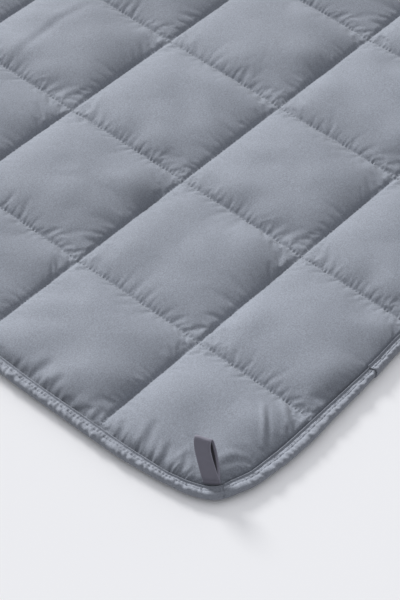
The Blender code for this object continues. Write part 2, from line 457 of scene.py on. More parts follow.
def mark_nodes(blocks: list[tuple[int, np.ndarray]], shape: tuple[int, int]) -> np.ndarray:
    """Flag the grid nodes at the blocks' corners.

    Args:
        blocks: Blocks from split_blocks.
        shape: Grid units across and along.

    Returns:
        One row of flags over all nodes.
    """
    used = np.zeros((shape[0] + 1, shape[1] + 1), bool)
    for size, low in blocks:
        for di, dj in ((0, 0), (size, 0), (size, size), (0, size)):
            used[low[:, 0] + di, low[:, 1] + dj] = True
    return used.ravel()


def grain_mesh(name: str, starts: np.ndarray, middles: np.ndarray, ends: np.ndarray,
               up: np.ndarray, radius: float) -> bpy.types.Mesh:
    """Make stitches: each a grain with a point at both ends and four sides at its middle.

    Args:
        name: The mesh's name.
        starts: Where each stitch goes in, one to a row.
        middles: The middle of each stitch.
        ends: Where each stitch comes out.
        up: The way out of the cloth at each stitch.
        radius: Half of the thread's thickness.

    Returns:
        The mesh, eight triangles to a stitch.
    """
    run = ends - starts
    run /= np.linalg.norm(run, axis=1, keepdims=True)
    side = np.cross(run, up)
    side /= np.linalg.norm(side, axis=1, keepdims=True)
    out = np.cross(side, run)
    ring = [middles + radius * side, middles + radius * out, middles - radius * side,
            middles - radius * out]
    points = np.stack([starts, *ring, ends], axis=1).reshape(-1, 3)
    shape = np.array([[0, 2, 1], [0, 3, 2], [0, 4, 3], [0, 1, 4],
                      [5, 1, 2], [5, 2, 3], [5, 3, 4], [5, 4, 1]])
    corners = (shape[None] + 6 * np.arange(len(starts))[:, None, None]).ravel()
    return mesh_from_polygons(name, points, corners, np.full(8 * len(starts), 3))


# --------------------------------------------------------------------------- finishes


class FinishGraph:
    """A material's node tree, with short calls for the nodes that the cloths use."""

    def __init__(self, name: str) -> None:
        """Start a material with its Principled shader.

        Args:
            name: The material's name.
        """
        self.material = bpy.data.materials.new(name)
        self.material.use_nodes = True
        self.tree = self.material.node_tree
        self.shader = self.tree.nodes["Principled BSDF"]
        self.place = self.tree.nodes.new("ShaderNodeTexCoord").outputs["Object"]

    def add(self, kind: str, values: dict[str, float | tuple]) -> bpy.types.Node:
        """Add a node and set its inputs.

        Args:
            kind: The node's type.
            values: What its inputs are set to, by their names.

        Returns:
            The node.
        """
        node = self.tree.nodes.new(kind)
        for name, value in values.items():
            node.inputs[name].default_value = value
        return node

    def noise(self, scale: float, detail: float, roughness: float = 0.55) -> bpy.types.NodeSocket:
        """Add a noise over the object's place and return its value.

        Args:
            scale: Its cells to a metre.
            detail: Its octaves.
            roughness: How strong its finer octaves are.

        Returns:
            The value, about 0.5.
        """
        node = self.add("ShaderNodeTexNoise",
                        {"Scale": scale, "Detail": detail, "Roughness": roughness})
        self.tree.links.new(self.place, node.inputs["Vector"])
        return node.outputs["Fac"]

    def threads(self, direction: Axis, pitch: float) -> bpy.types.NodeSocket:
        """Add parallel threads as a sine across the object's place, a little distorted.

        At scale 1 the wave texture has a band every pi / 10 metres, so its scale is that over
        the pitch.

        Args:
            direction: The way across the threads.
            pitch: One thread to the next, in metres.

        Returns:
            The value, 0 between threads and 1 on them.
        """
        node = self.add("ShaderNodeTexWave",
                        {"Scale": math.pi / 10 / pitch, "Distortion": 0.6, "Detail": 1.0})
        node.bands_direction = direction.value
        self.tree.links.new(self.place, node.inputs["Vector"])
        return node.outputs["Fac"]

    def blend(self, kind: Arithmetic, a: bpy.types.NodeSocket | float,
              b: bpy.types.NodeSocket | float = 0.0) -> bpy.types.NodeSocket:
        """Add a Math node on two values.

        Args:
            kind: What is done with them.
            a: The first value or number.
            b: The second value or number.

        Returns:
            The result.
        """
        node = self.add("ShaderNodeMath", {})
        node.operation = kind.value
        for socket, value in zip(node.inputs, (a, b)):
            if isinstance(value, bpy.types.NodeSocket):
                self.tree.links.new(value, socket)
            else:
                socket.default_value = value
        return node.outputs["Value"]

    def product(self, *values: bpy.types.NodeSocket) -> bpy.types.NodeSocket:
        """Multiply values, from the first to the last."""
        return reduce(lambda a, b: self.blend(Arithmetic.TIMES, a, b), values)

    def mixed(self, a: bpy.types.NodeSocket, b: bpy.types.NodeSocket,
              share: float) -> bpy.types.NodeSocket:
        """Add a share of one value to the rest of another.

        Args:
            a: The first value.
            b: The second value.
            share: The share of the first.

        Returns:
            The mixed value.
        """
        return self.blend(Arithmetic.PLUS, self.blend(Arithmetic.TIMES, a, share),
                          self.blend(Arithmetic.TIMES, b, 1 - share))

    def spread(self, value: bpy.types.NodeSocket, before: tuple[float, float],
               after: tuple[float, float]) -> bpy.types.NodeSocket:
        """Stretch a value from one range onto another, clamped.

        Args:
            value: The value.
            before: Start and end of its range.
            after: What they become.

        Returns:
            The stretched value.
        """
        node = self.add("ShaderNodeMapRange", {"From Min": before[0], "From Max": before[1],
                                               "To Min": after[0], "To Max": after[1]})
        self.tree.links.new(value, node.inputs["Value"])
        return node.outputs["Result"]

    def about_one(self, value: bpy.types.NodeSocket, amount: float,
                  usual: tuple[float, float] = (0.3, 0.7)) -> bpy.types.NodeSocket:
        """Stretch a noise's usual range onto 1 less and 1 more an amount."""
        return self.spread(value, usual, (1 - amount, 1 + amount))

    def around(self, place: float) -> bpy.types.NodeSocket:
        """Read how far round a tube's section each point is from one place.

        Args:
            place: The place, in metres round the section.

        Returns:
            The distance, in metres.
        """
        node = self.add("ShaderNodeUVMap", {})
        node.uv_map = "cloth"
        split = self.add("ShaderNodeSeparateXYZ", {})
        self.tree.links.new(node.outputs["UV"], split.inputs["Vector"])
        return self.blend(Arithmetic.SIZE, self.blend(Arithmetic.LESS, split.outputs["Y"], place))

    def tone(self, colour: tuple[float, float, float],
             strength: bpy.types.NodeSocket) -> None:
        """Colour the shader with one colour times a value.

        Args:
            colour: The colour, linear.
            strength: The value, about 1.
        """
        node = self.add("ShaderNodeVectorMath", {})
        node.operation = "SCALE"
        node.inputs[0].default_value = colour
        self.tree.links.new(strength, node.inputs["Scale"])
        self.tree.links.new(node.outputs["Vector"], self.shader.inputs["Base Color"])

    def relief(self, height: bpy.types.NodeSocket, depth: float) -> None:
        """Raise the surface's shading by a height value.

        Args:
            height: The height, 0 to 1.
            depth: What 1 stands for, in metres.
        """
        node = self.add("ShaderNodeBump", {"Strength": 1.0, "Distance": depth})
        self.tree.links.new(height, node.inputs["Height"])
        self.tree.links.new(node.outputs["Normal"], self.shader.inputs["Normal"])

    def finish(self, roughness: float, gloss: float = 0.5,
               sheen: float = 0.0) -> bpy.types.Material:
        """Set how the surface shines, and hand the material over.

        Args:
            roughness: Its roughness.
            gloss: Its specular level.
            sheen: The weight of its fuzz.

        Returns:
            The material.
        """
        for name, value in (("Roughness", roughness), ("Specular IOR Level", gloss),
                            ("Sheen Weight", sheen)):
            self.shader.inputs[name].default_value = value
        return self.material


@dataclass(frozen=True)
class WovenCloth:
    """A matte woven cloth: threads both ways, fibre flecks and faint uneven dye."""

    name: str
    colour: tuple[float, float, float]
    thread_pitch: float = 0.0006
    thread_shade: tuple[float, float] = (0.96, 1.03)    # between threads and on them
    thread_share: float = 0.4                           # of the relief
    fleck: float = 0.21
    fleck_scale: float = 980.0
    fleck_range: tuple[float, float] = (0.34, 0.66)
    mottle: float = 0.05
    cloud_scale: float = 55.0
    dye_scale: float = 7.0
    relief: float = 0.00020
    roughness: float = 0.75
    gloss: float = 0.25
    sheen: float = 0.10

    def material(self) -> bpy.types.Material:
        """Build the node tree: the colour times the flecks, the clouds, the dye and the threads.

        Returns:
            The material.
        """
        graph = FinishGraph(self.name)
        threads = graph.product(graph.threads(Axis.ACROSS, self.thread_pitch),
                                graph.threads(Axis.ALONG, self.thread_pitch))
        flecks = graph.noise(self.fleck_scale, 3.0, 0.7)
        strength = graph.product(
            graph.about_one(flecks, self.fleck, self.fleck_range),
            graph.about_one(graph.noise(self.cloud_scale, 3.0), self.mottle / 2),
            graph.about_one(graph.noise(self.dye_scale, 2.0), self.mottle),
            graph.spread(threads, (0.0, 1.0), self.thread_shade))
        graph.tone(self.colour, strength)
        graph.relief(graph.mixed(threads, flecks, self.thread_share), self.relief)
        return graph.finish(self.roughness, self.gloss, self.sheen)


@dataclass(frozen=True)
class RibbonCloth:
    """A close smooth ribbon with fine ribs, a painted highlight on its selvedges and painted shade
    on its inner side.
    """

    name: str
    colour: tuple[float, float, float]
    rib_pitch: float = 0.0007
    rib_shade: tuple[float, float] = (0.97, 1.03)       # between ribs and on them
    rib_share: float = 0.6                              # of the relief
    fibre_scale: float = 1300.0
    tint: float = 0.05
    tint_scale: float = 90.0
    round_section: float = 0.0252
    inner_middle: float = 0.676                         # shares of the way round the section
    inner_edge: tuple[float, float] = (0.105, 0.125)
    selvedge_edge: tuple[float, float] = (0.325, 0.38)
    # Painted shade: the inner side of the ribbon is darkened to this share, standing in for the
    # shade inside the loop.
    inner_painted_shade: float = 0.22
    # Painted highlight: the selvedges are made paler by this factor, standing in for the light they
    # catch.
    selvedge: float = 1.4
    relief: float = 0.00006
    roughness: float = 0.62
    gloss: float = 0.35
    sheen: float = 0.1

    def material(self) -> bpy.types.Material:
        """Build the node tree: colour, tint, ribs, painted inner shade and painted selvedge
        highlight.

        Returns:
            The material.
        """
        graph = FinishGraph(self.name)
        ribs = graph.threads(Axis.UP, self.rib_pitch)
        fibre = graph.noise(self.fibre_scale, 2.0)
        tint = graph.product(graph.about_one(graph.noise(self.tint_scale, 2.0), self.tint),
                             graph.spread(ribs, (0.0, 1.0), self.rib_shade))
        inward = graph.around(self.inner_middle * self.round_section)
        # Painted shade on the inner side and a painted highlight on the selvedges, read by the
        # distance round the section.
        for edge, shades in ((self.inner_edge, (self.inner_painted_shade, self.selvedge)),
                             (self.selvedge_edge, (1.0, 1 / self.selvedge))):
            places = (edge[0] * self.round_section, edge[1] * self.round_section)
            tint = graph.product(tint, graph.spread(inward, places, shades))
        graph.tone(self.colour, tint)
        graph.relief(graph.mixed(ribs, fibre, self.rib_share), self.relief)
        return graph.finish(self.roughness, self.gloss, self.sheen)


@dataclass(frozen=True)
class SewingThread:
    """Twisted sewing thread, near the cloth's own colour."""

    name: str
    colour: tuple[float, float, float]
    twist: float = 0.15
    twist_scale: float = 1800.0
    relief: float = 0.00005
    roughness: float = 0.6

    def material(self) -> bpy.types.Material:
        """Build the node tree: the colour times the twist.

        Returns:
            The material.
        """
        graph = FinishGraph(self.name)
        twist = graph.noise(self.twist_scale, 1.0)
        graph.tone(self.colour, graph.about_one(twist, self.twist))
        graph.relief(twist, self.relief)
        return graph.finish(self.roughness)


@dataclass(frozen=True)
class StudioPaper:
    """The plain pale surface that the blanket lies on."""

    name: str
    colour: tuple[float, float, float]
    cloud: float = 0.005
    cloud_scale: float = 3.0
    roughness: float = 0.9
    gloss: float = 0.1

    def material(self) -> bpy.types.Material:
        """Build the node tree: the colour times faint clouds.

        Returns:
            The material.
        """
        graph = FinishGraph(self.name)
        graph.tone(self.colour, graph.about_one(graph.noise(self.cloud_scale, 2.0), self.cloud))
        return graph.finish(self.roughness, self.gloss)


# --------------------------------------------------------------------------- quilt


@dataclass(frozen=True)
class PocketCloth:
    """The cloth over a pocket, as a cloth simulation of several pockets at once gives it.

    Each pocket starts as a low crown, pinned along its four channels. The cloth is a little
    larger than the crown and the filling pushes it up, so its middle is tight, and what is
    too long beside the channels gathers into puckers.
    """

    plan: BlanketPlan
    tiles: int = 9
    spacing: float = 1.2            # one pocket to the next, in pitches
    quads: int = 72
    start: float = 0.95
    lump: float = 0.0030
    lump_waves: int = 5
    jitter: float = 0.00001
    excess: float = 0.010
    seam_excess: float = 0.050
    seam_reach: float = 0.018
    gather_steps: int = 20
    pressure: float = 65.0
    stiffness: float = 40.0
    bending: float = 12.0
    shear: float = 5.0
    damping: float = 5.0
    air_damping: float = 1.0
    quality: int = 4
    vertex_mass: float = 0.001
    frames: int = 18
    most_move: float = 0.0060
    seed: int = 11

    def crowns(self) -> np.ndarray:
        """Shape the pockets before the simulation.

        The height is the even rise times the crown, plus lumps, which are products of half
        sines across and along with random strengths, weaker the shorter they are.

        Returns:
            The heights above the channels, (tiles, n, n).
        """
        share = np.linspace(0, 1, self.quads + 1)
        u, v = np.meshgrid(share, share, indexing="ij")
        rise = self.plan.even_rise(u, v)
        random = np.random.default_rng(self.seed)
        full = self.plan.crown_level - self.plan.seam_top
        crowns = []
        for _ in range(self.tiles):
            lumps = np.zeros_like(u)
            for a in range(1, self.lump_waves + 1):
                for b in range(1, self.lump_waves + 1):
                    if a + b > 2:
                        wave = np.sin(math.pi * a * u) * np.sin(math.pi * b * v)
                        lumps += random.normal() * wave / (a + b)
            jitter = random.normal(0, self.jitter, u.shape) * (rise > 0)
            crowns.append(full * self.start * rise + self.lump * lumps * np.sqrt(rise) + jitter)
        return np.array(crowns)

    def simulate(self, crowns: np.ndarray) -> np.ndarray:
        """Run the cloth over all pockets and return how far each point moved.

        Args:
            crowns: Heights from crowns().

        Returns:
            The moves, (tiles, n, n, 3), in metres.
        """
        count, size = len(crowns), self.quads + 1
        share = np.linspace(0, 1, size) * self.plan.pitch
        u, v = np.meshgrid(share, share, indexing="ij")
        apart = self.spacing * self.plan.pitch * np.arange(count)[:, None, None]
        start = np.stack((u + apart, np.broadcast_to(v, crowns.shape), crowns), -1).reshape(-1, 3)
        node = np.arange(count * size * size).reshape(count, size, size)
        quads = np.stack((node[:, :-1, :-1], node[:, 1:, :-1], node[:, 1:, 1:],
                          node[:, :-1, 1:]), -1)
        mesh = mesh_from_polygons("pocket_cloth", start, quads.ravel(),
                                  np.full(quads.size // 4, 4))
        cloth = bpy.data.objects.new("pocket_cloth", mesh)
        bpy.context.scene.collection.objects.link(cloth)
        self.mark(cloth, node, np.minimum(from_ends(u, share[-1]), from_ends(v, share[-1])))
        self.dress(cloth.modifiers.new("cloth", "CLOTH"))
        scene = bpy.context.scene
        for frame_number in range(1, self.frames + 1):
            scene.frame_set(frame_number)
        shaped = cloth.evaluated_get(bpy.context.evaluated_depsgraph_get()).data
        end = np.empty(start.size, np.float32)
        shaped.vertices.foreach_get("co", end)
        bpy.data.objects.remove(cloth)
        scene.frame_set(1)
        move = end.reshape(-1, 3) - start
        length = np.linalg.norm(move, axis=1, keepdims=True)
        move *= np.minimum(1.0, self.most_move / np.maximum(length, TINY))
        return move.reshape(*crowns.shape, 3)

    def mark(self, cloth: bpy.types.Object, node: np.ndarray, inward: np.ndarray) -> None:
        """Mark the vertices that the channels hold, and how much each is gathered.

        The gathering falls away from the channels exponentially, in even steps.

        Args:
            cloth: The pockets.
            node: Vertex numbers, (tiles, n, n).
            inward: Distance from the nearest channel, (n, n).
        """
        inner = np.zeros(inward.shape, bool)
        inner[1:-1, 1:-1] = True
        pins = cloth.vertex_groups.new(name="channels")
        pins.add(node[:, ~inner].ravel().tolist(), 1.0, "REPLACE")
        gathers = cloth.vertex_groups.new(name="gathers")
        steps = self.gather_steps
        weight = np.round(np.exp(-inward / self.seam_reach) * steps)
        for step in range(1, steps + 1):
            gathers.add(node[:, weight == step].ravel().tolist(), step / steps, "REPLACE")

    def dress(self, modifier: bpy.types.Modifier) -> None:
        """Set the simulation up: light pinned cloth, a little too large, pushed by its filling.

        Args:
            modifier: The Cloth modifier.
        """
        cloth = modifier.settings
        cloth.vertex_group_mass = "channels"
        cloth.quality = self.quality
        cloth.mass = self.vertex_mass
        cloth.air_damping = self.air_damping
        cloth.tension_stiffness = self.stiffness
        cloth.compression_stiffness = self.stiffness
        cloth.shear_stiffness = self.shear
        cloth.bending_stiffness = self.bending
        cloth.tension_damping = self.damping
        cloth.compression_damping = self.damping
        cloth.shear_damping = self.damping
        cloth.use_pressure = True
        cloth.uniform_pressure_force = self.pressure
        cloth.vertex_group_shrink = "gathers"
        cloth.shrink_min = -self.excess
        cloth.shrink_max = -self.seam_excess
        cloth.effector_weights.gravity = 0.0
        modifier.collision_settings.use_collision = False
        modifier.point_cache.frame_end = self.frames + 1

    def folds(self) -> np.ndarray:
        """Work out what makes each simulated pocket differ from the mean of all pockets.

        The mean is taken over the pockets and their mirror images.

        Returns:
            The folds, (tiles, n, n, 3), in metres.
        """
        crowns = self.crowns()
        cloth = self.simulate(crowns)
        cloth[..., 2] += crowns
        mirror_x, mirror_y = np.array([-1, 1, 1]), np.array([1, -1, 1])
        turned = [cloth, cloth[:, ::-1] * mirror_x, cloth[:, :, ::-1] * mirror_y,
                  cloth[:, ::-1, ::-1] * mirror_x * mirror_y]
        return cloth - np.mean(turned, axis=(0, 1))


def smoothed(arrays: np.ndarray, rounds: int) -> np.ndarray:
    """Blur arrays over their second and third axes with the weights 1, 2, 1, border held.

    Args:
        arrays: The arrays, (tiles, n, n, 3).
        rounds: How many times.

    Returns:
        The blurred arrays.
    """
    out = arrays.copy()
    for _ in range(rounds):
        for axis in (1, 2):
            before, after = np.roll(out, 1, axis), np.roll(out, -1, axis)
            mixed = (before + 2 * out + after) / 4
            inner = [slice(None)] * out.ndim
            inner[axis] = slice(1, -1)
            out[tuple(inner)] = mixed[tuple(inner)]
        out[:, [0, -1]] = arrays[:, [0, -1]]
        out[:, :, [0, -1]] = arrays[:, :, [0, -1]]
    return out


def doubled(arrays: np.ndarray) -> np.ndarray:
    """Put a new point between each two, over the second and third axes.

    A new point is (9 (a + b) - (c + d)) / 16 of its two near and two far neighbours, and the
    mean of the near two beside a border.

    Args:
        arrays: The arrays, (tiles, n, n, 3).

    Returns:
        The arrays with 2n - 1 points each way.
    """
    for axis in (1, 2):
        lines = np.moveaxis(arrays, axis, 0)
        middle = (lines[:-1] + lines[1:]) / 2
        middle[1:-1] = (9 * (lines[1:-2] + lines[2:-1]) - lines[:-3] - lines[3:]) / 16
        out = np.empty((2 * len(lines) - 1, *lines.shape[1:]))
        out[0::2] = lines
        out[1::2] = middle
        arrays = np.moveaxis(out, 0, axis)
    return arrays


@dataclass(frozen=True)
class Crease:
    """A soft crease pressed into the face: a valley along a line, with a low ridge beside it."""

    points: tuple[tuple[float, float], ...]     # millimetres in from the near corner's edges
    width: float
    depth: float
    ridge: float = 0.6
    spread: float = 1.2
    end_power: float = 0.6
    run_out: float = 3.0            # widths out to where it fades

    def height(self, x: np.ndarray, y: np.ndarray) -> np.ndarray:
        """Height of the crease at points of the plan.

        Across the line it is -depth exp(-(d / width)^2) plus a ridge of the same kind, spread
        times as wide, whose middle is that and half a width to its left. It fades at both ends
        as a power of the sine of the way along, and exponentially beyond a few widths.

        Args:
            x: Distance in from the left edge, metres.
            y: Distance in from the near edge, metres.

        Returns:
            The height, in metres.
        """
        line = np.array(self.points) / MILLIMETRES
        steps = np.linalg.norm(np.diff(line, axis=0), axis=1)
        begun = np.concatenate(([0], np.cumsum(steps)))
        best = np.full(x.shape, np.inf)
        offset = np.zeros(x.shape)
        travelled = np.zeros(x.shape)
        for start, stop, length, before in zip(line[:-1], line[1:], steps, begun):
            run = (stop - start) / length
            along = np.clip((x - start[0]) * run[0] + (y - start[1]) * run[1], 0, length)
            off_x = x - start[0] - along * run[0]
            off_y = y - start[1] - along * run[1]
            gap = np.hypot(off_x, off_y)
            nearer = gap < best
            best = np.where(nearer, gap, best)
            left = np.sign(run[0] * off_y - run[1] * off_x)
            offset = np.where(nearer, gap * left, offset)
            travelled = np.where(nearer, before + along, travelled)
        share = np.clip(travelled / begun[-1], 0, 1)
        fade = np.maximum(np.sin(math.pi * share), 0) ** self.end_power
        fade = fade * np.exp(-np.maximum(best / self.width - self.run_out, 0))
        ridge = bell(offset / self.width - 0.5 - self.spread, self.spread)
        return self.depth * fade * (self.ridge * ridge - bell(offset, self.width))


@dataclass(frozen=True)
class Quilt:
    """The filled quilt: its crowned face, its channels and its flat-footed underside."""

    plan: BlanketPlan
    folds: np.ndarray
    # Columns and rows of the pockets by the near corner, which are made fine.
    fine_pockets: tuple[tuple[int, int], ...] = (
        (0, 0), (0, 1), (0, 2), (1, 0), (1, 1), (1, 2), (1, 3), (2, 0), (2, 1), (2, 2),
        (2, 3), (2, 4), (3, 0), (3, 1), (3, 2), (3, 3), (4, 1), (4, 2))
    fine_band: int = 12             # grid units beside a channel with the smaller polygons
    coarse_band: int = 16
    fine_blocks: tuple[int, int] = (1, 2)
    coarse_blocks: tuple[int, int] = (4, 8)
    foot_block: int = 8
    foot_width: float = 0.012
    dimple: float = 0.00045
    dimple_reach: float = 0.0012
    dimple_most: float = 1.7
    dimple_power: float = 1.5
    dimple_at_edge: float = 0.3
    most_channels: int = 64
    pinch: float = 0.0011
    side_pinch: float = 0.0006
    pinch_reach: float = 0.0021
    edge_pinch: float = 0.0029
    side_reach: float = 0.0048
    end_reach: float = 0.0020
    crossing: float = 0.0006
    crossing_reach: float = 0.0045
    crease_hold: int = 6            # grid units beside a channel over which creases fade
    crease_rest: float = 0.25
    lump_share: float = 0.85
    pucker_share: float = 1.25
    pucker_reach: float = 0.012
    pucker_rest: float = 0.25
    lump_rounds: int = 14
    coarse_rounds: int = 5
    stitch_tuck: float = 0.12       # share of a stitch that is sunk at each end
    stitch_rise: float = 0.00018
    thread_radius: float = 0.00028
    creases: tuple[Crease, ...] = ()
    seed: int = 5

    def fine_map(self) -> np.ndarray:
        """Flag the pockets that are made fine.

        Returns:
            The flags, (pockets across, pockets along).
        """
        fine = np.zeros((self.plan.pockets_x, self.plan.pockets_y), bool)
        rows = np.array(self.fine_pockets)
        fine[rows[:, 0], rows[:, 1]] = True
        return fine

    def pocket_of(self, i: np.ndarray, pockets: int) -> tuple[np.ndarray, np.ndarray]:
        """Pocket number and units into it, of grid units in one direction.

        Args:
            i: Grid units.
            pockets: Number of pockets in that direction.

        Returns:
            The pockets, and the units from their low side, held to 0 and UNITS.
        """
        inner = i - RIM_UNITS
        pocket = np.clip(inner // UNITS, 0, pockets - 1)
        return pocket, np.clip(inner - pocket * UNITS, 0, UNITS)

    def from_channel(self, li: np.ndarray, lj: np.ndarray) -> np.ndarray:
        """Grid units to the nearest channel, of units into a pocket across and along."""
        return np.minimum(from_ends(li, UNITS), from_ends(lj, UNITS))

    def from_border(self, i: np.ndarray, j: np.ndarray) -> np.ndarray:
        """Grid units in from the quilt's nearest edge, of grid units across and along."""
        across, along = self.plan.grid_shape()
        return np.minimum(from_ends(i, across), from_ends(j, along))

    def framed(self, sizes: np.ndarray) -> np.ndarray:
        """Set the wanted block size of the rim to the largest.

        Args:
            sizes: Wanted block size of each grid unit.

        Returns:
            The sizes with the rim's changed.
        """
        framed = np.full(sizes.shape, LARGEST_BLOCK)
        inner = slice(RIM_UNITS, -RIM_UNITS)
        framed[inner, inner] = sizes[inner, inner]
        return framed

    def wanted_sizes(self) -> np.ndarray:
        """Choose the block sizes of the face: small beside the channels and in fine pockets.

        Returns:
            The wanted block size of each grid unit.
        """
        across, along = self.plan.grid_shape()
        ci, li = self.pocket_of(np.arange(across), self.plan.pockets_x)
        cj, lj = self.pocket_of(np.arange(along), self.plan.pockets_y)
        near = np.minimum(from_ends(li, UNITS - 1)[:, None], from_ends(lj, UNITS - 1)[None, :])
        fine = self.fine_map()[ci[:, None], cj[None, :]]
        return self.framed(np.where(fine, np.where(near < self.fine_band, *self.fine_blocks),
                                    np.where(near < self.coarse_band, *self.coarse_blocks)))

    def pocket_folds(self) -> tuple[np.ndarray, np.ndarray]:
        """The folds of the fine pockets and, smoother, of the others.

        Lumps are the folds' blur and puckers are what the folds have over it. The puckers
        keep their height beside the channels and fade to a share of it further in.

        Returns:
            Two arrays (tiles, UNITS + 1, UNITS + 1, 3).
        """
        lumps = smoothed(self.folds, self.lump_rounds)
        inward = from_ends(np.linspace(0, self.plan.pitch, self.folds.shape[1]), self.plan.pitch)
        inward = np.minimum(inward[:, None], inward[None, :])
        keep = self.pucker_rest + (1 - self.pucker_rest) * bell(inward, self.pucker_reach)
        keep = self.pucker_share * keep[None, :, :, None]
        fine = self.lump_share * lumps + keep * (self.folds - lumps)
        coarse_folds = smoothed(self.folds, self.coarse_rounds)
        coarse = self.lump_share * lumps + keep * (coarse_folds - lumps)
        return doubled(fine), doubled(coarse)

    def pocket_move(self, ci: np.ndarray, cj: np.ndarray, li: np.ndarray,
                    lj: np.ndarray) -> np.ndarray:
        """Read the folds at points of the pockets.

        Each pocket takes one of the simulated ones, mirrored or not, by whole-number sums of
        its column and row, which scatter them over the blanket.

        Args:
            ci: Column of each point's pocket.
            cj: Row of each point's pocket.
            li: Units into the pocket, across.
            lj: Units into the pocket, along.

        Returns:
            How far each point moves, one to a row.
        """
        folds = np.stack(self.pocket_folds())
        kind = np.where(self.fine_map()[ci, cj], 0, 1)
        tile = (4 * ci + 7 * cj + ci * cj) % len(self.folds)
        flip_i = (3 * ci + 5 * cj + ci * cj // 2) % 2 == 1
        flip_j = (ci // 2 + cj + ci * cj) % 2 == 1
        move = folds[kind, tile, np.where(flip_i, UNITS - li, li),
                     np.where(flip_j, UNITS - lj, lj)]
        return move * np.stack((np.where(flip_i, -1, 1), np.where(flip_j, -1, 1),
                                np.ones(len(move))), -1)

    def face(self, i: np.ndarray, j: np.ndarray) -> np.ndarray:
        """Points of the quilted face at grid nodes.

        The height is the channel's, plus the even rise and the folds of the pocket, less the
        dimples of the stitches and the crossings, plus the creases.

        Args:
            i: Grid units across.
            j: Grid units along.

        Returns:
            The points, one to a row.
        """
        plan = self.plan
        x, y = plan.place(i, j)
        ci, li = self.pocket_of(i, plan.pockets_x)
        cj, lj = self.pocket_of(j, plan.pockets_y)
        move = self.pocket_move(ci, cj, li, lj)
        x = x + move[:, 0]
        y = y + move[:, 1]
        rise = (plan.crown_level - plan.seam_top) * plan.even_rise(li / UNITS, lj / UNITS)
        z = plan.seam_top + (rise + move[:, 2]) * plan.fullness(ci, cj)
        z = z - self.dimples(i, j, li, lj)
        inset = self.from_border(i, j)
        inner_rim = plan.seam_top - self.edge_pinch
        rim = plan.seam_level + (inner_rim - plan.seam_level) * inset / RIM_UNITS
        z = np.where(inset < RIM_UNITS, rim, z)
        from_left = x + plan.half_x
        from_near = y - plan.shift_y + plan.half_y
        hold = np.clip(self.from_channel(li, lj) / self.crease_hold, 0, 1)
        hold = self.crease_rest + (1 - self.crease_rest) * hold
        for crease in self.creases:
            z = z + crease.height(from_left, from_near) * hold
        return plan.settle(np.stack((x, y, z), -1))

    def dimples(self, i: np.ndarray, j: np.ndarray, li: np.ndarray, lj: np.ndarray) -> np.ndarray:
        """Depth of the stitches' dimples, of the pinch and of the dents where channels cross.

        Along a channel the dimples are a cosine, deepest at each needle hole and raised
        between holes, with its own strength at each stitch. They fade away from the channel
        exponentially. The pinch is a bell across the channel or the binding's seam.

        Args:
            i: Grid units across.
            j: Grid units along.
            li: Units into the pocket, across.
            lj: Units into the pocket, along.

        Returns:
            The depth, in metres.
        """
        unit = self.plan.pitch / UNITS
        away_i, away_j = from_ends(li, UNITS) * unit, from_ends(lj, UNITS) * unit
        across, along = self.plan.grid_shape()
        random = np.random.default_rng(self.seed)
        stitches = max(across, along) // STITCH_UNITS + 2
        chance = random.uniform(0, 1, (2, self.most_channels, stitches))
        strength = self.dimple_most * chance**self.dimple_power
        line_i = np.round((i - RIM_UNITS) / UNITS).astype(int)
        line_j = np.round((j - RIM_UNITS) / UNITS).astype(int)
        half = STITCH_UNITS // 2
        beside_i = strength[0, line_i, (j + half) // STITCH_UNITS]
        beside_i = beside_i * np.exp(-away_i / self.dimple_reach)
        beside_j = strength[1, line_j, (i + half) // STITCH_UNITS]
        beside_j = beside_j * np.exp(-away_j / self.dimple_reach)
        swing_j = np.cos(2 * math.pi * (j - RIM_UNITS) / STITCH_UNITS)
        swing_i = np.cos(2 * math.pi * (i - RIM_UNITS) / STITCH_UNITS)
        depth = self.dimple * (swing_j * beside_i + swing_i * beside_j)
        pinch = np.maximum(self.side_pinch * bell(away_i, self.pinch_reach),
                           self.pinch * bell(away_j, self.pinch_reach))
        from_side = from_ends(i, across) - RIM_UNITS
        from_end = from_ends(j, along) - RIM_UNITS
        from_edge = np.minimum(from_side, from_end)
        nearness = unit * np.minimum(from_side / self.side_reach, from_end / self.end_reach)
        pinch = np.maximum(pinch * np.minimum(from_edge / STITCH_UNITS, 1),
                           self.edge_pinch * bell(nearness, 1.0))
        rest = self.dimple_at_edge
        depth = depth * np.clip(rest + (1 - rest) * from_edge / half, rest, 1)
        dent = self.crossing * bell(np.hypot(away_i, away_j), self.crossing_reach)
        return depth + pinch + dent

    def foot(self, i: np.ndarray, j: np.ndarray) -> np.ndarray:
        """Points of the underside at grid nodes: on the ground, and lifted along the channels.

        Args:
            i: Grid units across.
            j: Grid units along.

        Returns:
            The points, one to a row.
        """
        plan = self.plan
        x, y = plan.place(i, j)
        _, li = self.pocket_of(i, plan.pockets_x)
        _, lj = self.pocket_of(j, plan.pockets_y)
        away = self.from_channel(li, lj) * plan.pitch / UNITS
        z = plan.seam_foot * eased(1 - away / self.foot_width)
        inset = self.from_border(i, j)
        rim = plan.seam_level + (plan.seam_foot - plan.seam_level) * inset / RIM_UNITS
        return plan.settle(np.stack((x, y, np.where(inset < RIM_UNITS, rim, z)), -1))

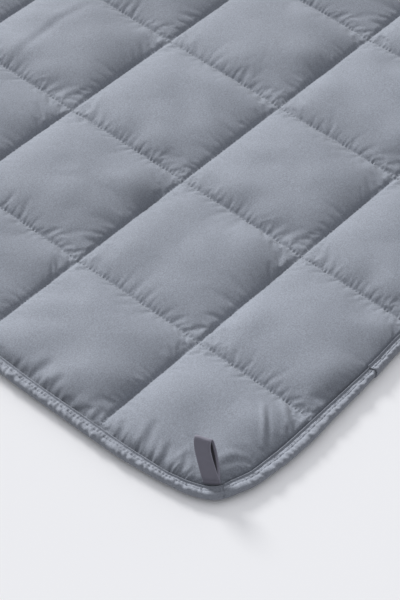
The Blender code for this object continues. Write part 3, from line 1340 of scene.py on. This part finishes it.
    def build(self, material: bpy.types.Material) -> bpy.types.Object:
        """Build the quilt: its face and its foot, joined along the rim.

        Args:
            material: The cloth's finish.

        Returns:
            The quilt.
        """
        shape = self.plan.grid_shape()
        nodes_along = shape[1] + 1
        face_blocks = split_blocks(self.wanted_sizes())
        foot_blocks = split_blocks(self.framed(np.full(shape, self.foot_block)))
        face_used, foot_used = mark_nodes(face_blocks, shape), mark_nodes(foot_blocks, shape)
        face_corners, face_counts = block_polygons(face_blocks, face_used, nodes_along, True)
        foot_corners, foot_counts = block_polygons(foot_blocks, foot_used, nodes_along, False)
        face_nodes = np.flatnonzero(face_used)
        border = np.zeros((shape[0] + 1, nodes_along), bool)
        border[[0, -1]] = True
        border[:, [0, -1]] = True
        foot_nodes = np.flatnonzero(foot_used & ~border.ravel())
        face_number = np.zeros(len(face_used), int)
        face_number[face_nodes] = np.arange(len(face_nodes))
        foot_number = face_number.copy()
        foot_number[foot_nodes] = len(face_nodes) + np.arange(len(foot_nodes))
        points = np.concatenate((self.face(face_nodes // nodes_along, face_nodes % nodes_along),
                                 self.foot(foot_nodes // nodes_along, foot_nodes % nodes_along)))
        corners = np.concatenate((face_number[face_corners], foot_number[foot_corners]))
        mesh = mesh_from_polygons("quilt_cloth", points, corners,
                                  np.concatenate((face_counts, foot_counts)))
        return add_object("quilt_cloth", mesh, material)

    def stitches(self, material: bpy.types.Material) -> bpy.types.Object:
        """Build the stitches of all channels, laid on the face.

        Args:
            material: The thread's finish.

        Returns:
            The stitches, as one piece.
        """
        plan = self.plan
        across = RIM_UNITS + UNITS * np.arange(1, plan.pockets_x)
        along = RIM_UNITS + UNITS * np.arange(1, plan.pockets_y)
        run_j = np.arange(RIM_UNITS, RIM_UNITS + UNITS * plan.pockets_y, STITCH_UNITS)
        run_i = np.arange(RIM_UNITS, RIM_UNITS + UNITS * plan.pockets_x, STITCH_UNITS)
        i_a, j_a = (grid.ravel() for grid in np.meshgrid(across, run_j, indexing="ij"))
        i_b, j_b = (grid.ravel() for grid in np.meshgrid(run_i, along, indexing="ij"))
        step_i = np.concatenate((np.zeros(len(i_a), int), np.full(len(i_b), 1)))
        step_j = 1 - step_i
        i, j = np.concatenate((i_a, i_b)), np.concatenate((j_a, j_b))
        starts, middles, ends = (self.face(i + step * step_i, j + step * step_j)
                                 for step in (0, STITCH_UNITS // 2, STITCH_UNITS))
        tuck = self.stitch_tuck * (ends - starts)
        starts, ends = starts + tuck, ends - tuck
        middles[:, 2] += self.stitch_rise
        up = np.broadcast_to([0.0, 0.0, 1.0], starts.shape)
        mesh = grain_mesh("channel_stitches", starts, middles, ends, up, self.thread_radius)
        return add_object("channel_stitches", mesh, material)


# --------------------------------------------------------------------------- binding


@dataclass(frozen=True)
class Binding:
    """The folded tape sewn round the quilt's edge, its end lapped over its start."""

    plan: BlanketPlan
    thickness: float = 0.0011
    width: float = 0.0090
    nose: float = 0.0030
    nose_steps: int = 8
    shoulder: float = 0.70
    under: float = 0.68
    height: float = 0.0074
    edge_height: float = 0.0060
    lower_flap: float = 0.0025
    fold_margin: float = 0.0011
    # The upper flap's outer face: (millimetres in from the edge, millimetres over the channel).
    upper_flap: tuple[tuple[float, float], ...] = (
        (9.05, 2.1), (9.3, 2.7), (9.15, 3.35), (8.8, 3.6), (8.45, 3.2), (8.05, 2.3), (7.5, 2.2),
        (6.95, 2.7), (6.4, 2.6), (5.7, 3.05), (5.3, 3.0), (4.9, 2.7), (4.45, 3.25))
    inner_drop: tuple[float, float] = (0.0007, 0.0005)  # at the stitches and at the folded edge
    stitch_pitch: float = 0.00315
    stitch_inset: float = 0.0049
    second_inset: float = 0.0064
    second_hole: float = 0.55
    first_stitch: float = 0.08      # shares of a stitch
    stitch_run: float = 0.84
    stitch_rise: float = 0.00010
    thread_radius: float = 0.00020
    lap_place: float = 0.186
    lap_length: float = 0.045
    lap_ramp: float = 0.012
    lap_stand: float = 0.0012
    clearance: float = 0.0003
    press: float = 0.0005
    press_margin: float = 0.0040
    lift: float = 0.0006
    lift_reach: float = 0.0070
    side_share: float = 0.33
    inner_share: float = 0.6
    overreach: float = 0.45
    top_rise: float = 3.0           # how fast the swell sets in, and where, by share of height
    top_start: float = 0.6
    least_up: float = 0.2
    crisp: float = 0.00005          # from each end to the next station, for a sharp cut
    ground_gap: float = 0.0001
    fine_steps: int = 6
    coarse_stitches: float = 1.25
    fine_first: float = 0.470
    fine_last: float = 0.080
    hole: float = 0.00036
    hole_reach: float = 0.0006
    pull: tuple[float, float] = (0.5, 1.25)
    gather: tuple[float, float] = (-0.2, 1.4)
    slant: float = 0.12
    pucker: float = 0.00013
    # Strength of the puckers and of the waves: (millimetres in from the edge, share).
    pucker_band: tuple[tuple[float, float], ...] = (
        (0.0, 0.0), (2.0, 0.25), (3.6, 0.7), (4.4, 1.0), (6.0, 1.0), (7.5, 0.8), (8.1, 0.3),
        (9.0, 0.25))
    swell_band: tuple[tuple[float, float], ...] = (
        (0.0, 0.9), (1.0, 1.4), (3.0, 1.4), (7.5, 0.5), (8.6, 0.0))
    swell: float = 0.00029
    wave_lengths: tuple[float, ...] = (0.0047, 0.0061, 0.0083, 0.0119, 0.0170, 0.0260)
    wave_lean: float = 1.2
    wave_drift: float = 4.7         # lengths of a wave in one rise and fall of its strength
    wave_unit: float = 0.012        # the length of a wave of strength 1
    most_phase: float = 6.0
    pleat_place: float = 0.0368
    pleat_lean: float = 0.15
    pleat: float = 0.0013
    pleat_reach: float = 0.0008
    seed: int = 3

    def growth(self) -> float:
        """How far the lapped end stands out over the tape below it."""
        return self.lap_stand + self.clearance

    def pieces_of_path(self) -> list[tuple[float, tuple[float, float], float, float]]:
        """The path as straights and quarter turns, from the covered start to the cut end.

        Returns:
            For each, its length, its start point or its centre, the direction outward at its
            start, and its turn, 0 for a straight.
        """
        plan = self.plan
        radius = plan.corner_radius
        flat_x, flat_y = plan.half_x - radius, plan.half_y - radius
        turn = -math.pi / 2
        arc = radius * math.pi / 2
        covered = self.lap_place + self.lap_length - plan.half_x
        cut = self.lap_place - plan.half_x
        return [
            (covered + flat_x, (covered, -plan.half_y), 1.5 * math.pi, 0.0),
            (arc, (-flat_x, -flat_y), 1.5 * math.pi, turn),
            (2 * flat_y, (-plan.half_x, -flat_y), math.pi, 0.0),
            (arc, (-flat_x, flat_y), math.pi, turn),
            (2 * flat_x, (-flat_x, plan.half_y), 0.5 * math.pi, 0.0),
            (arc, (flat_x, flat_y), 0.5 * math.pi, turn),
            (2 * flat_y, (plan.half_x, flat_y), 0.0, 0.0),
            (arc, (flat_x, -flat_y), 0.0, turn),
            (flat_x - cut, (flat_x, -plan.half_y), 1.5 * math.pi, 0.0),
        ]

    def length(self) -> float:
        """Length of the whole path, along the outer edge."""
        return sum(piece[0] for piece in self.pieces_of_path())

    def along_path(self, s: np.ndarray) -> tuple[np.ndarray, np.ndarray]:
        """Points of the outer edge and the way outward there.

        Args:
            s: Distance along the path from the covered start.

        Returns:
            The points and the outward directions, (n, 2) each.
        """
        points, outs = np.zeros((len(s), 2)), np.zeros((len(s), 2))
        begun = 0.0
        for length, (x, y), facing, turn in self.pieces_of_path():
            here = (s >= begun - TINY) & (s <= begun + length + TINY)
            way = s[here] - begun
            angle = facing + turn * way / length
            out = np.stack((np.cos(angle), np.sin(angle)), -1)
            if turn:
                points[here] = np.array([x, y]) + self.plan.corner_radius * out
            else:
                run = np.stack((out[:, 1], -out[:, 0]), -1)
                points[here] = np.array([x, y]) + run * way[:, None]
            outs[here] = out
            begun += length
        return points, outs

    def stations(self) -> np.ndarray:
        """Choose the stations: several to a stitch near the lap and the corner beside it.

        Returns:
            Their distances along the path.
        """
        fine = self.stitch_pitch / self.fine_steps
        coarse = self.stitch_pitch * self.coarse_stitches
        whole = self.length()
        first = np.arange(0, self.fine_first, fine)
        last = np.arange(whole, whole - self.fine_last, -fine)[::-1]
        between = np.arange(first[-1] + coarse, last[0] - coarse / 2, coarse)
        return np.concatenate((first, between, last))

    def outer_curve(self) -> np.ndarray:
        """Draw the tape's outer face across.

        The upper flap falls from its folded edge into a groove, rises to the puckered band
        and dips at the topstitches. The nose is a quarter of a squarish ellipse above and
        below. The lower flap is straight.

        Returns:
            Rows of (distance in from the edge, height over the channel), in metres.
        """
        upper = [(inset / MILLIMETRES, height / MILLIMETRES) for inset, height in self.upper_flap]
        full, flap = self.height / 2, self.edge_height / 2
        turns = np.linspace(math.pi / 2, 0, self.nose_steps + 1)
        nose = [(self.nose * (1 - abs(math.cos(turn)) ** self.shoulder),
                 full * math.sin(turn) ** self.shoulder) for turn in turns]
        below = [(inset, -self.under * height) for inset, height in nose[-2::-2]]
        lower = [(self.width - self.lower_flap, -flap), (self.width, -flap)]
        return np.array(upper + nose + below + lower)

    def inner_curve(self) -> np.ndarray:
        """Draw the tape's inner face across, from the lower folded edge back to the upper.

        Returns:
            Rows of (distance in from the edge, height over the channel), in metres.
        """
        nose, full = self.nose - self.thickness, self.height / 2 - self.thickness
        flap = self.edge_height / 2 - self.thickness
        turns = np.linspace(-math.pi / 2, math.pi / 2, self.nose_steps // 2 + 1)
        curve = [(self.width, -flap)]
        curve += [(self.thickness + nose * (1 - math.cos(turn)),
                   full * math.sin(turn) * (self.under if turn < 0 else 1)) for turn in turns]
        curve += [(inset, flap - drop)
                  for inset, drop in zip((self.stitch_inset, self.width), self.inner_drop)]
        return np.array(curve)

    def grown(self, s: np.ndarray) -> np.ndarray:
        """How far the tape stands out at each distance, climbing before the lapped end."""
        left = self.length() - s
        return self.growth() * eased((self.lap_length + self.lap_ramp - left) / self.lap_ramp)

    def pressed(self, s: np.ndarray) -> np.ndarray:
        """How far the covered start is pressed in at its nose, ending past the cut end."""
        return self.press * eased((self.lap_length - self.press_margin - s) / self.lap_ramp + 1)

    def lifted(self, s: np.ndarray) -> np.ndarray:
        """How far the cut end stands off the tape below it, over its last few millimetres."""
        ramp = np.clip(1 - (self.length() - s) / self.lift_reach, 0, 1)
        return self.lift * ramp * ramp

    def puckers(self, s: np.ndarray, inset: np.ndarray, on_top: np.ndarray) -> np.ndarray:
        """Work out how far the outer face swells out.

        At each needle hole it dips as a narrow bell. Between holes it puckers as minus the
        cosine of the way from one hole to the next, strongest beside the stitches. The waves
        go all over it, and a bell-shaped pleat takes up the tape's spare length at each corner.

        Args:
            s: Distances along the path.
            inset: Distance of each point across from the edge.
            on_top: How far each point is on the upper side, 0 to 1.

        Returns:
            The swell, in metres, (stations, points across).
        """
        random = np.random.default_rng(self.seed)
        stitch = (s / self.stitch_pitch)[:, None]
        count = int(stitch[-1, 0]) + 3
        number = np.round(stitch[:, 0]).astype(int)
        pull = random.uniform(*self.pull, count)[number][:, None]
        gather = random.uniform(*self.gather, count)[number][:, None]
        slant = random.normal(0, self.slant, count)[number][:, None]
        off = (inset[None] - self.stitch_inset) / self.stitch_pitch
        phase = 2 * math.pi * (stitch + slant * off)
        rows = ((self.stitch_inset, 1.0), (self.second_inset, self.second_hole))
        holes = sum(depth * bell(inset[None] - row, self.hole_reach) for row, depth in rows)
        swell = -self.hole * pull * ((1 + np.cos(phase)) / 2) ** 2 * holes
        swell -= self.pucker * gather * np.cos(phase) * self.banded(self.pucker_band, inset)
        swell += self.swell * self.waves(random, s, inset) * self.banded(self.swell_band, inset)
        begun = 0.0
        for length, _, _, turn in self.pieces_of_path():
            if turn:
                away = s[:, None] - begun - self.pleat_place + self.pleat_lean * inset[None]
                swell -= self.pleat * bell(away, self.pleat_reach)
            begun += length
        return swell * on_top[None]

    def banded(self, band: tuple[tuple[float, float], ...], inset: np.ndarray) -> np.ndarray:
        """Read a band's share at each distance in from the edge, as one row."""
        places, shares = zip(*band)
        return np.interp(inset * MILLIMETRES, places, shares)[None]

    def waves(self, random: np.random.Generator, s: np.ndarray, inset: np.ndarray) -> np.ndarray:
        """Add up waves of several lengths, each a cosine that leans across the tape.

        The strength of each goes with the root of its length, and rises and falls along the
        tape as half of 1 plus a sine.

        Args:
            random: Where the waves' leans and phases are drawn from.
            s: Distances along the path.
            inset: Distance of each point across from the edge.

        Returns:
            The sum, (stations, points across).
        """
        waves = np.zeros((len(s), len(inset)))
        for length in self.wave_lengths:
            lean = random.uniform(-self.wave_lean, self.wave_lean) / length
            turn = 2 * math.pi * (s[:, None] / length + inset[None] * lean)
            turn += random.uniform(0, self.most_phase)
            drift = np.sin(2 * math.pi * s[:, None] / (length * self.wave_drift)
                           + random.uniform(0, self.most_phase))
            waves += np.cos(turn) * (1 + drift) / 2 * (length / self.wave_unit) ** 0.5
        return waves

    def surface(self, s: np.ndarray) -> np.ndarray:
        """Carry the tape's section along its path.

        The outer face swells along its own outward and upward shares. The lapped end grows
        to all sides, less at its side, and reaches over at its folded edge. Nothing goes
        below the ground.

        Args:
            s: Distances along the path.

        Returns:
            Rings of points round the tape, outer face first, (stations, points, 3).
        """
        plan = self.plan
        outer, inner = self.outer_curve(), self.inner_curve()
        points, outs = self.along_path(s)
        grown, lifted = self.grown(s)[:, None], self.lifted(s)[:, None]
        inset, height = outer.T[:, None]
        slope = np.clip(height / (self.height / 2), -1, 1)
        on_top = np.clip(slope[0] * self.top_rise + self.top_start, 0, 1)
        swell = self.puckers(s, inset[0], on_top)
        outward = np.sqrt(np.clip(1 - slope**2, 0, 1)) * (inset < self.nose)
        up = np.sign(height + TINY) * np.clip(np.abs(slope) + self.least_up, 0, 1)
        at_fold = (inset > self.width - self.fold_margin) & (up > 0)
        aside = self.pressed(s)[:, None] - self.side_share * grown - swell
        outer_inset = inset + aside * outward + self.overreach * grown * at_fold
        outer_height = height + grown * up + swell * np.abs(up) + lifted * (up > 0)
        inset, height = inner.T[:, None]
        up = np.sign(height)
        inner_inset = inset - self.inner_share * grown * (inset < self.nose)
        inner_height = height + grown * up + lifted * (up > 0)
        insets = np.concatenate((outer_inset, inner_inset), axis=1)
        heights = np.concatenate((outer_height, inner_height), axis=1)
        x = points[:, 0:1] - outs[:, 0:1] * insets
        y = points[:, 1:2] - outs[:, 1:2] * insets + plan.shift_y
        z = np.maximum(plan.seam_level + heights, self.ground_gap)
        rings = np.stack((x, y, z), -1)
        return plan.settle(rings.reshape(-1, 3)).reshape(rings.shape)

    def build(self, material: bpy.types.Material) -> bpy.types.Object:
        """Build the tape as one closed thin mesh.

        Args:
            material: The tape's finish.

        Returns:
            The binding.
        """
        stations = self.stations()
        stations = np.insert(stations, (1, len(stations) - 1),
                             (stations[0] + self.crisp, stations[-1] - self.crisp))
        rings = self.surface(stations)
        mesh = tube_mesh("binding_tape", rings, (self.length(), self.flat_width()))
        return add_object("binding_tape", mesh, material)

    def flat_width(self) -> float:
        """Width of the tape before it was folded, along its outer face."""
        outer = self.outer_curve()
        return float(np.linalg.norm(np.diff(outer, axis=0), axis=1).sum())

    def stitches(self, material: bpy.types.Material) -> bpy.types.Object:
        """Build the two rows of topstitches along the tape.

        Args:
            material: The thread's finish.

        Returns:
            The stitches, as one piece.
        """
        count = int((self.length() - self.stitch_pitch) / self.stitch_pitch)
        holes = self.stitch_pitch * (np.arange(count) + self.first_stitch)
        across = self.outer_curve()[:len(self.upper_flap), 0]
        rows = [int(np.argmin(np.abs(across - row)))
                for row in (self.stitch_inset, self.second_inset)]
        starts, middles, ends = (
            self.surface(holes + part * self.stitch_run * self.stitch_pitch)[:, rows].reshape(-1, 3)
            for part in (0.0, 0.5, 1.0))
        middles[:, 2] += self.stitch_rise
        up = np.broadcast_to([0.0, 0.0, 1.0], starts.shape)
        mesh = grain_mesh("binding_stitches", starts, middles, ends, up, self.thread_radius)
        return add_object("binding_stitches", mesh, material)


# --------------------------------------------------------------------------- loops


@dataclass(frozen=True)
class CornerLoop:
    """A ribbon folded into a standing loop, its two ends caught at the corner."""

    plan: BlanketPlan
    number: int
    side: Side
    width: float = 0.0126
    thickness: float = 0.0009
    cad_thickness: float = 0.0010   # of the ribbon whose middle line this one follows
    length: float = 0.0337
    root: float = 0.0040
    opening: float = 0.0074
    bow: float = 0.0031
    fullness: float = 0.25
    lean: float = math.radians(64)
    bearing: float = math.radians(25.7)
    twist: float = math.radians(15)
    shear: float = 0.27
    sway: float = 0.0116
    sway_power: float = 1.44
    seat: float = 0.0242
    foot_level: float = 0.0102
    foot_spread: float = 1.05       # of half the spacing of the two ends
    steps: int = 88
    flats: int = 6
    selvedge: float = 0.0006
    rounding: tuple[float, float] = (0.0002, 0.75)      # in from the side, share of the thickness
    bead: float = 0.35
    bead_inset: float = 0.0012
    bead_reach: float = 0.0005

    def middle_line(self) -> np.ndarray:
        """Draw the ribbon's middle line seen edge on.

        The opening is a drop: its width goes as sin(t) sin(t / 2)^fullness and its height as
        one less cos(t). It bows towards the blanket's middle as a half sine of the height. The
        middle line is half a ribbon outside it, and both ends run straight down.

        Returns:
            Rows of (away from the loop's middle, up), in metres.
        """
        turn = np.linspace(0, 2 * math.pi, self.steps + 1)
        across = np.sin(turn) * np.maximum(np.sin(turn / 2), 0) ** self.fullness
        across *= self.opening / (across.max() - across.min())
        risen = (1 - np.cos(turn)) / 2
        across = across + self.bow * np.sin(math.pi * risen)
        up = self.root + (self.length - self.root - self.cad_thickness) * risen
        run_across, run_up = np.gradient(across), np.gradient(up)
        run = np.hypot(run_across, run_up)
        run[run == 0] = 1.0
        half = self.cad_thickness / 2
        across = across + half * run_up / run
        up = up - half * run_across / run
        keep = slice(2, -2)
        foot = half * self.foot_spread
        return np.concatenate(([(foot, 0.0), (foot, self.root / 2)],
                               np.stack((across[keep], up[keep]), -1),
                               [(-foot, self.root / 2), (-foot, 0.0)]))

    def seated(self, depth: np.ndarray, up: np.ndarray, beside: np.ndarray) -> np.ndarray:
        """Carry points of an upright loop to its leaning, swaying place at its corner.

        Args:
            depth: Distance through the loop, towards the blanket's middle.
            up: Height along the loop.
            beside: Distance across the ribbon.

        Returns:
            The points, (..., 3).
        """
        toward = depth * math.sin(self.lean) + up * math.cos(self.lean)
        level = up * math.sin(self.lean) - depth * math.cos(self.lean)
        risen = np.sin(math.pi / 2 * np.clip(up / self.length, 0, 1) ** self.sway_power)
        aside = beside - self.sway * risen + self.shear * depth
        bearing = self.bearing + self.twist * (1 - risen)
        x = self.seat - self.plan.half_x + toward * np.cos(bearing) + aside * np.sin(bearing)
        y = self.seat - self.plan.half_y + toward * np.sin(bearing) - aside * np.cos(bearing)
        side_x, side_y = self.side.value
        z = self.foot_level + level
        return np.stack((-side_x * x, -side_y * y + self.plan.shift_y, z), -1)

    def section(self) -> np.ndarray:
        """Draw the ribbon's section: flat above and below, with a round selvedge at each side.

        Returns:
            Rows of (across the ribbon, out of it), in metres.
        """
        half_w, half_t = self.width / 2, self.thickness / 2
        in_from_side, share = self.rounding
        upper = [(place, half_t)
                 for place in np.linspace(-1, 1, self.flats) * (half_w - self.selvedge)]
        upper += [(half_w - in_from_side, share * half_t), (half_w, 0.0),
                  (half_w - in_from_side, -share * half_t)]
        return np.concatenate((upper, -np.array(upper)))

    def flat_length(self) -> float:
        """Length of the ribbon before it was folded."""
        return float(np.linalg.norm(np.diff(self.middle_line(), axis=0), axis=1).sum())

    def build(self, material: bpy.types.Material) -> bpy.types.Object:
        """Build the loop: the ribbon's section, with its round selvedges, along its line.

        Args:
            material: The ribbon's finish.

        Returns:
            The loop.
        """
        line = self.middle_line()
        run = np.gradient(line, axis=0)
        run /= np.linalg.norm(run, axis=1, keepdims=True)
        normal = np.stack((run[:, 1], -run[:, 0]), -1)
        section = self.section()
        inward = self.width / 2 - np.abs(section[:, 0])
        offset = section[:, 1] * (1 + self.bead * bell(self.bead_inset - inward, self.bead_reach))
        depth = line[:, 0:1] + normal[:, 0:1] * offset[None]
        up = np.maximum(line[:, 1:2] + normal[:, 1:2] * offset[None], 0.0)
        beside = np.broadcast_to(section[None, :, 0], depth.shape)
        rings = self.seated(depth, up, beside)
        rings = self.plan.settle(rings.reshape(-1, 3)).reshape(rings.shape)
        name = f"ribbon_loop_{self.number}"
        mesh = tube_mesh(name, rings, (self.flat_length(), 2 * self.width))
        return add_object(name, mesh, material)


# --------------------------------------------------------------------------- studio


@dataclass(frozen=True)
class Studio:
    """The plain surface, the soft light and the camera."""

    paper: StudioPaper = StudioPaper("pale_paper", (0.895, 0.895, 0.905))
    eye: tuple[float, float, float] = (-1.26326, -1.39714, 1.11159)
    azimuth: float = 0.66204
    descent: float = 0.82364
    roll: float = 0.06985
    focal: float = 118.93
    floor_size: float = 60.0
    floor_level: float = -0.0002
    sky: tuple[float, float, float] = (0.955, 0.965, 1.0)
    sky_low: float = 0.18
    sky_high: float = 0.985
    key_strength: float = 1.47
    wash_strength: float = 3.72
    key_bearing: float = math.radians(74)
    key_height: float = math.radians(32)
    key_angle: float = math.radians(16)

    def build_floor(self) -> bpy.types.Object:
        """Build the plain surface under the blanket.

        Returns:
            The floor.
        """
        half = self.floor_size / 2
        corners = np.array([[-half, -half], [half, -half], [half, half], [-half, half]])
        points = np.column_stack((corners, np.full(4, self.floor_level)))
        mesh = mesh_from_polygons("floor", points, np.arange(4), np.array([4]))
        return add_object("floor", mesh, self.paper.material())

    def add_sun(self, name: str, strength: float, toward: Vector) -> bpy.types.Object:
        """Add a soft distant light.

        Args:
            name: Its name.
            strength: Its strength.
            toward: The way to it.

        Returns:
            The light.
        """
        light = bpy.data.lights.new(name, "SUN")
        light.energy = strength
        light.angle = self.key_angle
        sun = bpy.data.objects.new(name, light)
        sun.rotation_mode = "QUATERNION"
        sun.rotation_quaternion = toward.to_track_quat("Z", "Y")
        bpy.context.scene.collection.objects.link(sun)
        return sun

    def light(self, cloths: list[bpy.types.Object]) -> None:
        """Light the scene: a pale sky, brightest overhead, and a soft low sun from behind.

        A second light from the same side is linked to the cloth alone. It draws the cloth's
        folds and leaves the shadow on the floor pale.

        Args:
            cloths: The pieces that the second light falls on.
        """
        flat = math.cos(self.key_height)
        key = Vector((flat * math.cos(self.key_bearing), flat * math.sin(self.key_bearing),
                      math.sin(self.key_height)))
        self.add_sun("key", self.key_strength, key)
        lit = bpy.data.collections.new("lit_cloth")
        for cloth in cloths:
            lit.objects.link(cloth)
        wash = self.add_sun("wash", self.wash_strength, key)
        wash.light_linking.receiver_collection = lit
        bpy.context.scene.world = self.build_sky()
        bpy.context.scene.view_settings.view_transform = "Standard"

    def build_sky(self) -> bpy.types.World:
        """Build the sky, whose strength goes with the height of the way looked in.

        Returns:
            The world.
        """
        world = bpy.data.worlds.new("studio")
        world.use_nodes = True
        background = world.node_tree.nodes["Background"]
        background.inputs["Color"].default_value = (*self.sky, 1.0)
        tree = world.node_tree
        split = tree.nodes.new("ShaderNodeSeparateXYZ")
        rise = tree.nodes.new("ShaderNodeMapRange")
        rise.inputs["To Min"].default_value = self.sky_low
        rise.inputs["To Max"].default_value = self.sky_high
        way = tree.nodes.new("ShaderNodeTexCoord").outputs["Generated"]
        tree.links.new(way, split.inputs["Vector"])
        tree.links.new(split.outputs["Z"], rise.inputs["Value"])
        tree.links.new(rise.outputs["Result"], background.inputs["Strength"])
        return world

    def add_camera(self) -> None:
        """Place the camera: forward from its bearing and descent, then rolled."""
        flat = math.cos(self.descent)
        forward = Vector((flat * math.cos(self.azimuth), flat * math.sin(self.azimuth),
                          -math.sin(self.descent)))
        right = forward.cross(Vector((0, 0, 1))).normalized()
        above = right.cross(forward)
        turned = math.cos(self.roll) * right + math.sin(self.roll) * above
        upright = turned.cross(forward)
        data = bpy.data.cameras.new("camera")
        data.lens = self.focal
        camera = bpy.data.objects.new("camera", data)
        axes = Matrix((turned, upright, -forward)).transposed()
        camera.matrix_world = Matrix.Translation(self.eye) @ axes.to_4x4()
        bpy.context.scene.collection.objects.link(camera)
        bpy.context.scene.camera = camera


# --------------------------------------------------------------------------- blanket


@dataclass
class WeightedBlanket:
    """The whole blanket: builds its pieces and ties them to the frame."""

    plan: BlanketPlan = BlanketPlan()
    cotton: WovenCloth = WovenCloth("slate_cotton", (0.176, 0.1915, 0.2225))
    tape: WovenCloth = WovenCloth("slate_tape", (0.197, 0.212, 0.245), fleck=0.16)
    thread: SewingThread = SewingThread("slate_thread", (0.185, 0.198, 0.228))
    ribbon: RibbonCloth = RibbonCloth("dark_ribbon", (0.140, 0.137, 0.170))

    def creases(self) -> tuple[Crease, ...]:
        """List the creases in the face, near the corner that faces the camera.

        Returns:
            The creases.
        """
        return (
            Crease(((237, 438), (270, 441), (310, 444), (354, 437)), 0.0042, 0.0008),
            Crease(((74, 13), (85, 23), (93, 30), (104, 40)), 0.0016, 0.0011, 1.4, 2.2),
            Crease(((102, 12), (110, 22), (122, 35)), 0.0018, 0.0009, 1.2, 1.8),
            Crease(((12, 46), (19, 47), (30, 53)), 0.0030, 0.0016),
            Crease(((12, 62), (20, 64), (28, 68)), 0.0026, 0.0013),
            Crease(((12, 79), (22, 82), (36, 88)), 0.0034, 0.0014),
            Crease(((12, 101), (18, 103), (25, 107)), 0.0030, 0.0009),
            Crease(((14, 33), (22, 38), (34, 48), (46, 60)), 0.0042, 0.0012),
            Crease(((36, 27), (43, 24), (50, 21), (56, 13)), 0.0030, 0.0011),
            Crease(((56, 31), (59, 21), (58, 11)), 0.0034, 0.0008),
            Crease(((9, 188), (20, 183), (30, 180)), 0.0040, 0.0013),
            Crease(((9, 170), (17, 166), (24, 164)), 0.0034, 0.0012),
        )

    def build(self) -> list[bpy.types.Object]:
        """Build every piece, tie it to the body, and hide the frame's part that it stands for.

        Returns:
            The pieces.
        """
        cotton, tape = self.cotton.material(), self.tape.material()
        thread, ribbon = self.thread.material(), self.ribbon.material()
        folds = PocketCloth(self.plan).folds()
        log.info("pocket cloth: %d pockets of %d points a side", len(folds), folds.shape[1])
        quilt = Quilt(self.plan, folds, creases=self.creases())
        filled = self.tie(quilt.build(cotton), "quilt")
        channels = self.tie(quilt.stitches(thread), None)
        binding = Binding(self.plan)
        sewn = self.tie(binding.build(tape), "binding")
        topstitch = self.tie(binding.stitches(thread), None)
        binding.length()
        pieces = [filled, channels, sewn, topstitch]
        for number, side in enumerate(Side, start=1):
            loop = CornerLoop(self.plan, number, side)
            standing = self.tie(loop.build(ribbon), f"loop_{number}")
            loop.flat_length()
            pieces.append(standing)
        return pieces

    def tie(self, piece: bpy.types.Object, node: str | None) -> bpy.types.Object:
        """Tie a piece to the blanket's one body.

        Args:
            piece: The piece.
            node: The part of the frame that it stands for, if any.

        Returns:
            The piece.
        """
        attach(piece, ROOT)
        if node:
            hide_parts(node)
        log.info("%s: %d vertices, %d faces", piece.name, len(piece.data.vertices),
                 len(piece.data.polygons))
        return piece


def main() -> None:
    """Load the frame and build the blanket, the floor, the light and the camera."""
    logging.basicConfig(level=logging.INFO, format="%(name)s: %(message)s")
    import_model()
    pieces = WeightedBlanket().build()
    studio = Studio()
    floor = studio.build_floor()
    studio.light(pieces)
    studio.add_camera()


if __name__ == "__main__":
    main()
